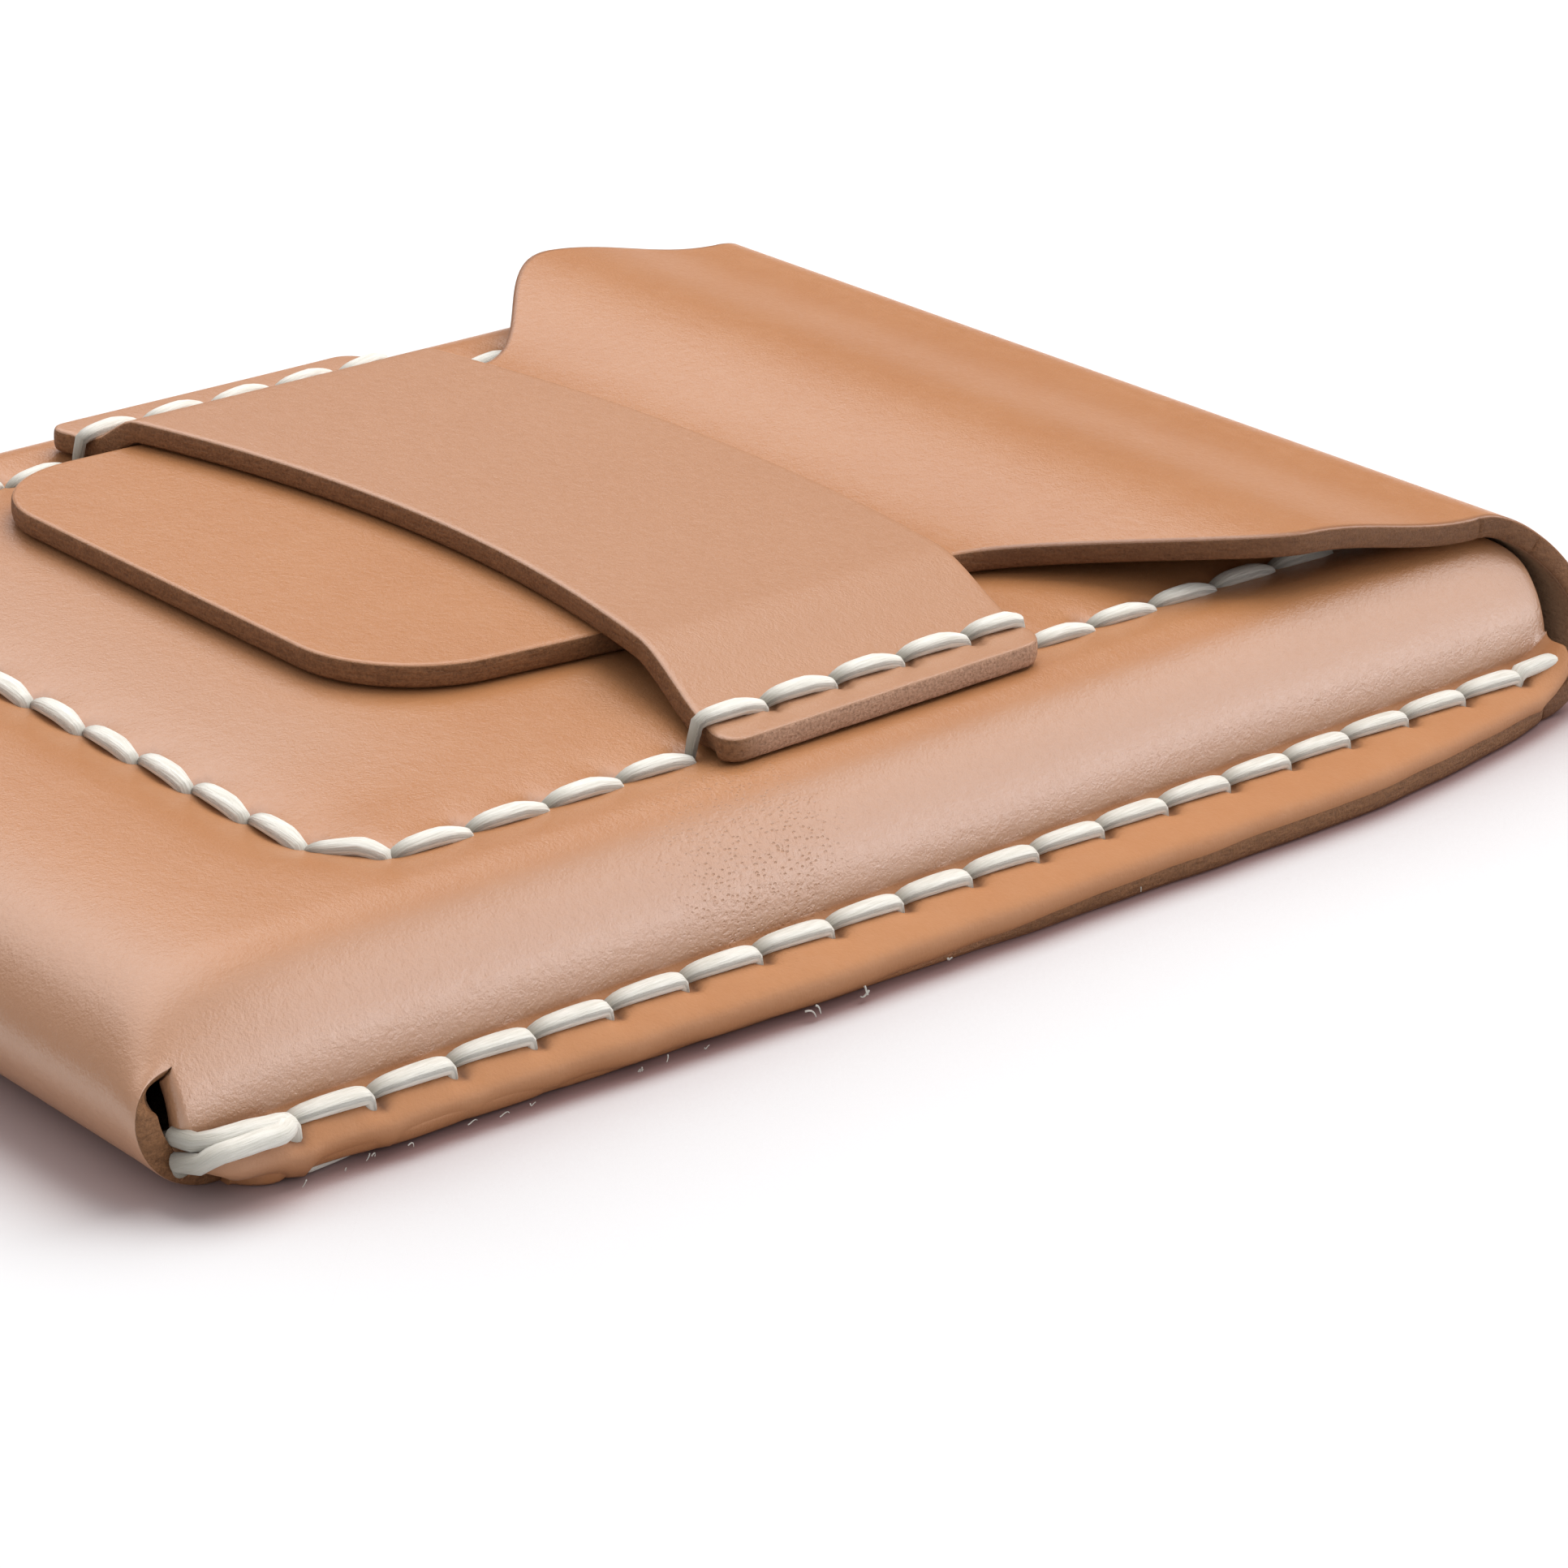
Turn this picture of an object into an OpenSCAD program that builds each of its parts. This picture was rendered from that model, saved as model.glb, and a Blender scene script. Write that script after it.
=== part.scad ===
// Hand-stitched leather flap wallet.
// One hide makes the back, wraps round the bottom as a moulded front, and goes over the top
// as a flap whose tongue tucks under a strap. All sizes in millimetres, +Z up, front face up.
// X runs from the bottom fold (-) to the top fold (+); Y runs across the wallet.

/* [Leather and thread] */
// Thickness of the leather
leather_t = 1.4; // [1:0.1:1.8]
// Thickness of the waxed sewing thread
thread_d = 0.9; // [0.6:0.05:1]
// Width of the awl holes
awl_d = 1.0; // [0.8:0.05:1.2]
// Distance between stitch holes
stitch_pitch = 5; // [3:0.5:6]

/* [Body] */
// Distance between the two side seams
side_gauge = 78.6; // [70:0.5:100]
// Leather outside a side seam where the wallet is widest
side_margin = 4.1; // [3:0.1:6]
// Leather outside a side seam at its first hole
foot_margin = 1.6; // [1.4:0.1:3]
// From the first side hole to the widest place
wide_at = 70; // [60:1:75]
// Stitches along each side seam
side_stitches = 18; // [16:1:24]
// Thickness of the moulded body
body_h = 9.7; // [9.5:0.1:14]
// Width of a rounded shoulder, seen from above
shoulder_w = 6.3; // [5:0.1:8]
// From a side seam in to the foot of its shoulder
crease_w = 1.2; // [0.8:0.1:2]
// From the first side hole to the outside of the bottom fold
bottom_reach = 7.6; // [7:0.1:9]
// From the last side hole to the middle of the mouth
mouth_reach = 2.2; // [1.5:0.1:2.2]
// How much further the mouth reaches at its two sides
mouth_ear = 2; // [1:0.1:2]
// From the last side hole to the outside of the top fold
top_reach = 6.8; // [6.7:0.1:9]
// Rounding of the back's two bottom corners
foot_r = 2.5; // [1:0.5:2.5]
// Radius of the curve by which the sides close in towards the top fold
top_corner_r = 92; // [80:1:150]
// Height of the open slot at each bottom corner
slot_h = 5.2; // [3:0.1:5.5]
// From the first side hole to the slot's inner edge
slot_reach = 4.8; // [4:0.1:5]

/* [Card pocket] */
// Distance between the pocket's two side seams
pocket_gauge = 58.2; // [50:0.1:60]
// From the first side hole to the pocket's bottom seam
pocket_bottom = 11.9; // [8:0.1:20]
// Stitches along the pocket's bottom seam
bottom_stitches = 10; // [8:1:10]
// Length, along the wallet, of the cut corner of the seam
corner_run = 2.5; // [1:0.1:5]
// Stitches along each side of the pocket
pocket_stitches = 15; // [12:1:15]
// Leather outside the pocket's seam
pocket_margin = 2.4; // [1.5:0.1:3]
// Room for cards between the front and the inner panel
card_gap = 0.8; // [0.4:0.1:1]

/* [Strap] */
// From the first side hole to the strap's ends
strap_at = 33.9; // [30:0.1:34.5]
// Width of the strap at its ends
strap_w = 23.7; // [15:0.1:24.5]
// Bow of the edge towards the bottom fold
strap_bow = 6; // [5:0.1:7]
// Bow of the edge towards the top fold
strap_back_bow = 4.4; // [0:0.1:5]
// Strap outside the pocket's seam
strap_margin = 2.9; // [2:0.1:3]
// Rounding of the strap's corners
strap_r = 1.5; // [0.5:0.1:3]

/* [Flap] */
// Width of the flap
flap_w = 69.6; // [60:0.1:72]
// Width of the tongue where the flap narrows to it
tongue_w = 44; // [30:0.1:46]
// Width of the tongue near its tip
tip_w = 40; // [28:0.1:42]
// From the first side hole to the tip
tip_at = 24.5; // [15:0.1:28]
// Rounding of the tip's corners
tip_r = 7; // [2:0.1:10]
// Length over which the flap narrows
neck_l = 15.5; // [10:0.1:16]
// Sideways lean of the flap, in degrees
flap_lean = 5.1; // [0:0.1:5.1]
// Height of the flap's arch between the top fold and the strap
arch_h = 2; // [0.5:0.1:3]
// Room between the flap and the front at the top fold
flap_gap = 0.2; // [0.15:0.05:0.5]
// Room above and below the tongue
tongue_gap = 0.15; // [0.1:0.05:0.3]

/* [Hidden] */

hide_color = [0.83, 0.62, 0.46];
fold_color = [0.78, 0.56, 0.40];
lining_color = [0.72, 0.52, 0.38];
thread_color = [0.88, 0.87, 0.83];

// Along the wallet
side_l = side_stitches * stitch_pitch;
body_l = bottom_reach + side_l + top_reach;
first_x = bottom_reach - body_l / 2;
last_x = first_x + side_l;
bottom_r = body_h / 2;
bottom_x = first_x - bottom_reach + bottom_r;
mouth_x = last_x + mouth_reach;
top_r = (body_h + flap_gap + leather_t) / 2;
top_x = body_l / 2 - top_r;

// Across the wallet
body_w = side_gauge + 2 * side_margin;
side_y = side_gauge / 2;
foot_y = side_y - crease_w;
flat_y = foot_y - shoulder_w;
wide_x = first_x + wide_at;

// Heights
flange_z = 2 * leather_t;
front_z = body_h;
lining_z = body_h - leather_t;
rim_z = lining_z - leather_t;

// Card pocket
pocket_y = pocket_gauge / 2;
pocket_x = first_x + pocket_bottom;
corner_x = pocket_x + corner_run;
bottom_y = bottom_stitches * stitch_pitch / 2;
card_wall = 1;

// Strap
strap_x = first_x + strap_at;
strap_y = pocket_y + strap_margin;
strap_lift = leather_t + 2 * tongue_gap;
ramp_side = 1;

// Flap
lean = tan(flap_lean);
neck_gap = 0.4;
neck_x = strap_x + strap_w + strap_back_bow + neck_gap;
tip_x = first_x + tip_at;
tongue_z = front_z + tongue_gap;
top_z = front_z + flap_gap;
step_angle = 45;
first_angle = -67.5;
seam_gap = 0.15;
fold_play = 0.25;
steps = 12;
shell_steps = 8;
cut = 0.5;
clear = 0.05;

// Thread
thread_r = thread_d / 2;
stem_r = awl_d / 2 - clear * 2;
slant = 0.2;
groove_play = 0.3;
groove_z = thread_r / 2;
side_holes = [for (i = [0:side_stitches]) first_x + i * stitch_pitch];
pocket_holes = [for (i = [0:pocket_stitches]) corner_x + i * stitch_pitch];
bottom_holes = [for (i = [0:bottom_stitches]) -bottom_y + i * stitch_pitch];

// Half-width of the two stitched layers at x
function edge_half(x) =
    let (grow = (x - first_x) / wide_at, past = x - wide_x, r = top_corner_r)
    side_y + foot_margin + (side_margin - foot_margin) * min(1, grow)
        - (past > 0 ? r - sqrt(r * r - past * past) : 0);

function smooth(t) = t * t * (3 - 2 * t);
function clamp01(t) = min(1, max(0, t));
function bow(y, b) = b * (1 - pow(y / strap_y, 2));
function lean_at(x) = lean * (top_x - x);

// Half-width of the flap at x, where it narrows from the panel to the tongue
function flap_half(x) =
    let (t = clamp01((neck_x + neck_l - x) / neck_l),
         u = clamp01((neck_x - x) / (neck_x - tip_x)))
    flap_w / 2 - (flap_w - tongue_w) / 2 * smooth(t) - (tongue_w - tip_w) / 2 * u;

// Height of the flap's underside at x
function flap_under(x) =
    let (t = clamp01((top_x - x) / (top_x - neck_x)))
    tongue_z + (top_z - tongue_z) * (1 - t) + arch_h * pow(sin(180 * t), 2);

// Half-width of the leather at height z as it goes round the top fold
function root_half(z) =
    let (root = edge_half(top_x))
    root - (root - flap_w / 2) * pow(z / (2 * top_r), 2);

// Height of the strap's underside at y: flat on the front at its ends, lifted over the tongue
function strap_under(y) =
    let (near = tongue_w / 2 - lean_at(neck_x) + ramp_side,
         far = max(tip_w / 2 + lean_at(strap_x), tongue_w / 2 + lean_at(neck_x)),
         edge = pocket_y - thread_r,
         t = y < 0 ? (edge + y) / (edge - near) : (edge - y) / (edge - far - tongue_gap))
    front_z + strap_lift * smooth(clamp01(t));

// Outline points of a shoulder that stands at y = foot and is w wide, from z0 up to z1
function shoulder(foot, w, z0, z1) =
    [for (i = [0:shell_steps]) let (a = 90 * i / shell_steps)
        [foot - w * (1 - cos(a)), z0 + (z1 - z0) * sin(a)]];

function mirrored(points) = [for (i = [len(points) - 1:-1:0]) [-points[i][0], points[i][1]]];

// A section in Y and Z, drawn out along X from x0 to x1
module along_x(x0, x1) {
    translate([x0, 0, 0]) rotate([90, 0, 90]) linear_extrude(x1 - x0) children();
}

// A section in X and Z, drawn out along Y over a width w
module along_y(w) {
    translate([0, w / 2, 0]) rotate([90, 0, 0]) linear_extrude(w) children();
}

module holes_at(xs, y, z0, z1) {
    for (x = xs) translate([x, y, z0]) cylinder(h = z1 - z0, d = awl_d, $fn = 16);
}

// The shell's outer form, between the feet of the two shoulders
module outer_section() {
    side = shoulder(foot_y, shoulder_w, flange_z, body_h);
    polygon(concat([[-foot_y, 0], [foot_y, 0]], side, mirrored(side)));
}

// The hollow inside the shell
module inner_section() {
    side = shoulder(foot_y - leather_t, shoulder_w - leather_t, leather_t, lining_z);
    polygon(concat([[-side[0][0], 0], [side[0][0], 0]], side, mirrored(side)));
}

// A part of a ring about the top fold, between two angles
module top_ring(a0, a1) {
    gap_a = seam_gap / 2 / top_r * 180 / PI;
    far = 2 * top_r;
    b0 = a0 <= -90 ? -90 : a0 + gap_a;
    b1 = a1 >= 90 ? 90 : a1 - gap_a;
    translate([top_x, top_r]) intersection() {
        difference() {
            circle(r = top_r, $fn = 96);
            circle(r = top_r - leather_t, $fn = 96);
        }
        polygon([[0, 0], far * [cos(b0), sin(b0)], far * [cos((b0 + b1) / 2), sin((b0 + b1) / 2)],
                 far * [cos(b1), sin(b1)]]);
    }
}

// The leather's outline as it narrows round the top fold
module root_taper() {
    side = [for (i = [0:steps]) let (z = 2 * top_r * i / steps) [root_half(z), z]];
    along_x(top_x - cut, top_x + 2 * top_r) polygon(concat(side, mirrored(side)));
}

module top_fold_part(a0, a1) {
    color(fold_color) intersection() {
        along_y(body_w) top_ring(a0, a1);
        root_taper();
    }
}

// Grooves that take the thread on the back, so that it lies flush
module back_grooves() {
    for (s = [-1, 1]) translate([first_x, s * side_y, groove_z]) rotate([0, 90, 0])
        cylinder(h = side_l, d = thread_d + groove_play, $fn = 24);
}

// The outline of the two stitched layers, from the bottom fold's centre line to x1
module edge_outline(x1) {
    r = foot_r;
    n = 4;
    corner = [for (i = [0:n]) let (a = 90 * i / n)
                 [bottom_x + r * (1 - cos(a)), edge_half(bottom_x + r) - r * (1 - sin(a))]];
    curve = [for (i = [0:n * 2]) let (x = wide_x + (x1 - wide_x) * i / n / 2) [x, edge_half(x)]];
    side = concat(corner, curve);
    polygon(concat(side, [for (i = [len(side) - 1:-1:0]) [side[i][0], -side[i][1]]]));
}

module back_panel() {
    color(hide_color) difference() {
        union() {
            linear_extrude(leather_t) edge_outline(top_x);
            intersection() {
                along_y(body_w) top_ring(-90, first_angle);
                root_taper();
            }
        }
        back_grooves();
        for (s = [-1, 1]) holes_at(side_holes, s * side_y, -cut, leather_t + cut);
    }
}

// Half of a round bar across the wallet, on the bottom fold's centre line
module bottom_round(r) {
    along_y(body_w) translate([bottom_x, bottom_r]) intersection() {
        circle(r = r, $fn = 96);
        translate([-2 * r, -r]) square([2 * r, 2 * r]);
    }
}

// The two open slots at the bottom corners
module corner_slots() {
    for (s = [-1, 1]) intersection() {
        translate([bottom_x - bottom_r, s > 0 ? flat_y : -foot_y - cut, leather_t])
            cube([first_x - slot_reach - bottom_x + bottom_r, foot_y - flat_y + cut, slot_h]);
        bottom_round(bottom_r - leather_t);
    }
}

module bottom_fold() {
    color(fold_color) difference() {
        intersection() {
            bottom_round(bottom_r);
            along_x(bottom_x - bottom_r, bottom_x) outer_section();
        }
        intersection() {
            bottom_round(bottom_r - leather_t);
            along_x(bottom_x - bottom_r, bottom_x + cut) inner_section();
        }
        corner_slots();
    }
}

// The mouth's edge: straight across the flat, further out at the two sides
module mouth_cut() {
    reach = mouth_x + 2 * mouth_ear;
    side_in = flat_y - cut;
    side_out = foot_y - shoulder_w / 3;
    translate([0, 0, leather_t]) linear_extrude(body_h)
        polygon([[mouth_x, -side_in], [mouth_x + mouth_ear, -side_out], [reach, -side_out],
                 [reach, side_out], [mouth_x + mouth_ear, side_out], [mouth_x, side_in]]);
}

// The leather of the top fold with its play, which the two ears of the front stay clear of
module fold_room() {
    reach = mouth_x + 2 * mouth_ear - top_x;
    along_y(body_w + cut) translate([top_x, top_r]) difference() {
        translate([0, -top_r]) square([reach, top_r]);
        circle(r = top_r - leather_t - fold_play, $fn = 96);
    }
}

module front_panel() {
    end_x = mouth_x + mouth_ear;
    color(hide_color) difference() {
        union() {
            intersection() {
                along_x(bottom_x, end_x) outer_section();
                translate([bottom_x, -body_w / 2, leather_t]) cube([body_l, body_w, body_h]);
            }
            translate([0, 0, leather_t]) linear_extrude(leather_t) edge_outline(end_x);
        }
        along_x(bottom_x - cut, end_x + cut) inner_section();
        mouth_cut();
        fold_room();
        for (s = [-1, 1]) holes_at(side_holes, s * side_y, 0, flange_z + cut);
        pocket_holes_cut(lining_z - cut, body_h + cut);
    }
}

// Every hole of the pocket's seam
module pocket_holes_cut(z0, z1) {
    for (s = [-1, 1]) holes_at(pocket_holes, s * pocket_y, z0, z1);
    for (y = bottom_holes) holes_at([pocket_x], y, z0, z1);
}

// Outline of the inner panel, grown by g
module pocket_outline(g) {
    y = pocket_y + g;
    x = pocket_x - g;
    polygon([[mouth_x, -y], [mouth_x, y], [corner_x, y], [x, bottom_y + g / 2],
             [x, -bottom_y - g / 2], [corner_x, -y]]);
}

module inner_pocket() {
    color(lining_color) difference() {
        union() {
            translate([0, 0, rim_z]) linear_extrude(leather_t) pocket_outline(pocket_margin);
            translate([0, 0, rim_z - card_gap]) linear_extrude(leather_t) pocket_outline(-card_wall);
        }
        translate([0, 0, lining_z - card_gap]) linear_extrude(card_gap + cut)
            card_room();
        pocket_holes_cut(rim_z - cut, lining_z + cut);
    }
}

// Outline of the room for cards, open at the mouth
module card_room() {
    inset = card_wall + leather_t;
    union() {
        pocket_outline(-inset);
        translate([mouth_x - cut, -pocket_y + inset]) square([2 * cut, 2 * (pocket_y - inset)]);
    }
}

// The strap seen from above: both edges bow towards the top fold
module strap_outline() {
    arc_n = 16;
    r = strap_r;
    front = [for (i = [0:arc_n]) let (y = -strap_y + r + 2 * (strap_y - r) * i / arc_n)
                [strap_x + bow(y, strap_bow), y]];
    back = [for (i = [arc_n:-1:0]) let (y = -strap_y + r + 2 * (strap_y - r) * i / arc_n)
                [strap_x + strap_w + bow(y, strap_back_bow), y]];
    far_end = [for (i = [1:3]) let (a = 90 * i / 3)
                [front[arc_n][0] + r * (1 - cos(a)), strap_y - r + r * sin(a)]];
    far_back = [for (i = [3:-1:1]) let (a = 90 * i / 3)
                [back[0][0] - r * (1 - cos(a)), strap_y - r + r * sin(a)]];
    near_end = [for (i = [1:3]) let (a = 90 * i / 3)
                [back[arc_n][0] - r * (1 - cos(a)), -strap_y + r - r * sin(a)]];
    near_front = [for (i = [2:-1:1]) let (a = 90 * i / 3)
                [front[0][0] + r * (1 - cos(a)), -strap_y + r - r * sin(a)]];
    polygon(concat(front, far_end, far_back, back, near_end, near_front));
}

module strap() {
    n = 48;
    under = [for (i = [0:n]) let (y = -strap_y + 2 * strap_y * i / n) [y, strap_under(y)]];
    color(hide_color) difference() {
        intersection() {
            along_x(strap_x - cut, strap_x + strap_w + strap_back_bow + cut)
                polygon(concat(under, [for (i = [n:-1:0]) under[i] + [0, leather_t]]));
            translate([0, 0, front_z - cut]) linear_extrude(strap_lift + leather_t + 2 * cut)
                strap_outline();
        }
        for (s = [-1, 1]) holes_at(pocket_holes, s * pocket_y, front_z - cut, body_h + 4 * leather_t);
    }
}

// The flap seen from above, from x0 to x1
module flap_outline(x0, x1) {
    n = 2 * steps;
    xs = [for (i = [0:n]) x0 + (x1 - x0) * i / n];
    polygon(concat([for (x = xs) [x, lean_at(x) - flap_half(x)]],
                   [for (i = [n:-1:0]) [xs[i], lean_at(xs[i]) + flap_half(xs[i])]]));
}

// The tongue seen from above, with its tip's round corners
module tongue_outline() {
    x1 = neck_x;
    function half(x) =
        flap_half(x) - (x < tip_x + tip_r ? tip_r - sqrt(pow(tip_r, 2) - pow(tip_x + tip_r - x, 2)) : 0);
    tip = [for (i = [0:6]) let (a = 90 * i / 6) tip_x + tip_r * (1 - cos(a))];
    xs = concat(tip, [x1]);
    n = len(xs) - 1;
    polygon(concat([for (x = xs) [x, lean_at(x) - half(x)]],
                   [for (i = [n:-1:0]) [xs[i], lean_at(xs[i]) + half(xs[i])]]));
}

module flap() {
    n = 2 * steps;
    xs = [for (i = [0:n]) top_x - (top_x - neck_x) * i / n];
    color(hide_color) difference() {
        union() {
            intersection() {
                along_y(body_w) polygon(concat([for (x = xs) [x, flap_under(x)]],
                    [for (i = [n:-1:0]) [xs[i], flap_under(xs[i]) + leather_t]]));
                translate([0, 0, front_z]) linear_extrude(3 * leather_t + arch_h)
                    flap_outline(neck_x, top_x);
            }
            intersection() {
                along_y(body_w) top_ring(first_angle + 3 * step_angle, 90);
                root_taper();
            }
        }
        seam_dents();
    }
}

// Dents in the flap's underside, where it lies on the last stitches of the pocket's seam
module seam_dents() {
    half = thread_r + slant + fold_play;
    x0 = pocket_holes[pocket_stitches - 1] - stitch_pitch / 2;
    x1 = pocket_holes[pocket_stitches] + thread_r + fold_play;
    for (s = [-1, 1]) translate([x0, s * pocket_y - half, front_z])
        cube([x1 - x0, 2 * half, thread_d + fold_play]);
}

module tongue() {
    color(hide_color) translate([0, 0, tongue_z]) linear_extrude(leather_t) tongue_outline();
}

// One straight run of thread from p to q
module run(p, q, r) {
    d = q - p;
    l = norm(d);
    translate(p) rotate([0, acos(d[2] / l), atan2(d[1], d[0])]) cylinder(h = l, r = r, $fn = 16);
}

module top_fold_low() top_fold_part(first_angle, first_angle + step_angle);
module top_fold_mid() top_fold_part(first_angle + step_angle, first_angle + 2 * step_angle);
module top_fold_high() top_fold_part(first_angle + 2 * step_angle, first_angle + 3 * step_angle);

// A side seam: slanted stitches on the flange, flush ones in the back's groove,
// and a first stitch that turns into the slot at the bottom corner
module side_seam(s) {
    z = flange_z + thread_r;
    n = len(side_holes) - 1;
    slot_x = first_x - slot_reach - thread_r - clear;
    turn = [slot_x, s * (foot_y + thread_r + clear), z + thread_r / 2];
    color(thread_color) union() {
        for (i = [0:n]) translate([side_holes[i], s * side_y, groove_z])
            cylinder(h = z - groove_z, r = stem_r, $fn = 16);
        for (i = [0:n - 1])
            run([side_holes[i], s * (side_y - slant), z],
                [side_holes[i + 1], s * (side_y + slant), z], thread_r);
        run([first_x, s * side_y, z - clear], turn, thread_r - clear);
        run(turn + [0, s * thread_r, 0], [slot_x, s * (foot_y - leather_t), turn[2]], thread_r);
        intersection() {
            run([first_x, s * side_y, groove_z], [last_x, s * side_y, groove_z], thread_r);
            translate([first_x - cut, s * side_y - thread_d, 0])
                cube([side_l + 2 * cut, 2 * thread_d, thread_d]);
        }
    }
}

module near_side_seam() side_seam(-1);
module far_side_seam() side_seam(1);

// Height of the leather that the pocket's seam lies on, at a hole along its side
function lies_on(x) =
    let (near = strap_x + bow(pocket_y, strap_bow),
         far = strap_x + strap_w + bow(pocket_y, strap_back_bow))
    x > near && x < far ? front_z + leather_t : front_z;

// Height of the stitch that starts at hole i of a side, which clears what lies under both ends
function stitch_z(i) =
    thread_r + max(lies_on(pocket_holes[i]), lies_on(pocket_holes[min(i + 1, pocket_stitches)]));

// The pocket's seam: both sides, the cut corners and the bottom
module pocket_seam() {
    n = len(pocket_holes) - 1;
    m = len(bottom_holes) - 1;
    inside = rim_z - thread_r;
    past = thread_r * 0.6;
    color(thread_color) union() {
        for (s = [-1, 1]) {
            for (i = [0:n]) translate([pocket_holes[i], s * pocket_y, inside])
                cylinder(h = max(stitch_z(i), stitch_z(max(0, i - 1))) - inside, r = stem_r, $fn = 16);
            for (i = [0:n - 1])
                run([pocket_holes[i], s * (pocket_y - slant), stitch_z(i)],
                    [pocket_holes[i + 1], s * (pocket_y + slant), stitch_z(i)], thread_r);
            run([pocket_holes[0] - past, s * pocket_y, inside],
                [pocket_holes[n], s * pocket_y, inside], thread_r);
            for (z = [inside, front_z + thread_r])
                run([corner_x, s * pocket_y, z - clear], [pocket_x, s * bottom_y, z - clear],
                    thread_r - clear);
        }
        for (i = [0:m]) translate([pocket_x, bottom_holes[i], inside])
            cylinder(h = front_z + thread_r - inside, r = stem_r, $fn = 16);
        for (i = [0:m - 1]) run([pocket_x + slant, bottom_holes[i], front_z + thread_r],
                                [pocket_x - slant, bottom_holes[i + 1], front_z + thread_r], thread_r);
        run([pocket_x, -bottom_y - past, inside], [pocket_x, bottom_y + past, inside], thread_r);
    }
}

back_panel();
bottom_fold();
front_panel();
inner_pocket();
strap();
top_fold_low();
top_fold_mid();
top_fold_high();
flap();
tongue();
near_side_seam();
far_side_seam();
pocket_seam();
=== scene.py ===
import math
import random
import bmesh
import bpy
import numpy as np
from mathutils import Matrix, Vector


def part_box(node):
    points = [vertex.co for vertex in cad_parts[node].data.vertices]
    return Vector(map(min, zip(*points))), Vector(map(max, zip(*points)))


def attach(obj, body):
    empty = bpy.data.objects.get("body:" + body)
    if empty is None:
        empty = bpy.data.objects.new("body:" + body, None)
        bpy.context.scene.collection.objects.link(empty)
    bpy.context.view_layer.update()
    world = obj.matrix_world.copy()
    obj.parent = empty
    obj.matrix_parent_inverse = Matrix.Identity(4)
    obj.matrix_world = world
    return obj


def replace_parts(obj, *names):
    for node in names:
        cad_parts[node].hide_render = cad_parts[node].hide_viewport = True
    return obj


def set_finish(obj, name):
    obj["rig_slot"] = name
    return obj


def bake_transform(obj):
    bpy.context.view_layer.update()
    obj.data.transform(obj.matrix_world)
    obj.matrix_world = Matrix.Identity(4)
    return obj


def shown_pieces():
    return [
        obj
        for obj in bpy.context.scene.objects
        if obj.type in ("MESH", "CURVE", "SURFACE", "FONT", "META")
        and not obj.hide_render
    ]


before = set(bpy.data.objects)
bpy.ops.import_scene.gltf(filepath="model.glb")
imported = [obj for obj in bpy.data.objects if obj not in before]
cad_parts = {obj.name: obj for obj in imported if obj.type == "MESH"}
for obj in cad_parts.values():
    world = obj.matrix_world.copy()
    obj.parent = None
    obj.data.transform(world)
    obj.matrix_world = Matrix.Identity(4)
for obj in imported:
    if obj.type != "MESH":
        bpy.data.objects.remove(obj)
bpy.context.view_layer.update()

mm = 0.001


def boxOf(node):
    return [np.array(p) * 1000 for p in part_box(node)]


# sizes are in millimetres, and the solids give those that fix a place
foldBox, strapBox, tongueBox = boxOf("bottom_fold"), boxOf("strap"), boxOf("tongue")
body = {
    "leather": 1.4,
    "thread": 0.9,
    "pitch": 5.0,  # from hole to hole
    "sideStitches": 18,
    "bottomX": foldBox[1][0],
    "height": foldBox[1][2],
    "footY": foldBox[1][1],
    "sideY": foldBox[1][1] + 1.2,  # side seam
    "flatY": foldBox[1][1] - 6.3,  # where the flat front ends
    "flangeZ": 2.8,
    "firstX": -44.6,
    "lastX": 45.4,
    "mouthX": 47.6,
    "topX": 46.55,
    "topR": 5.65,
}
pocket = {
    "y": 29.1,
    "x": -32.7,
    "cornerX": -30.2,
    "bottomY": 25.0,
    "endX": 47.0,
    "sideStitches": 15,
    "bottomStitches": 10,
    "sideHole": (-0.30, 0.88),  # how far a hole lies from its place in the seam
    "bottomHole": (0.88, 0.62),
}
hideT = body["leather"]
bend = body["height"] / 2  # outer radius of the bottom fold
sideHoles = [body["firstX"] + body["pitch"] * i for i in range(body["sideStitches"] + 1)]
pocketHoles = [pocket["cornerX"] + body["pitch"] * i for i in range(pocket["sideStitches"] + 1)]
bottomHoles = [-pocket["bottomY"] + body["pitch"] * i for i in range(pocket["bottomStitches"] + 1)]


def smooth(t):
    t = np.clip(t, 0, 1)
    return t * t * (3 - 2 * t)


def ripple(x, y, seed=0.0):  # slow hand-made unevenness, about -1 to 1
    long = np.sin(x * 0.083 + 1.7 + seed) * np.sin(y * 0.071 + 0.6 - seed)
    short = 0.5 * np.sin(x * 0.19 - y * 0.05 + 2.0 + seed)
    return (long + short + 0.35 * np.sin(y * 0.23 + x * 0.11 + seed)) / 1.85


sideEdge = {
    "x": [-50, -44.6, -30, -13, 10, 25.4],
    "margin": [1.3, 1.8, 2.4, 3.4, 3.7, 4.1],  # leather outside the seam
    "sweepX": 25.4,  # from here the edge curves in to the top fold
    "sweepR": 92,
    "wobble": 0.06,
}


def edgeHalf(x):
    x = np.asarray(x, float)
    margin = np.interp(x, sideEdge["x"], sideEdge["margin"])
    past = np.maximum(x - sideEdge["sweepX"], 0)
    sweep = sideEdge["sweepR"] - np.sqrt(sideEdge["sweepR"] ** 2 - past ** 2)
    return body["sideY"] + margin - sweep + sideEdge["wobble"] * np.sin(x * 0.7) * np.sin(x * 0.23 + 1)


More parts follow.
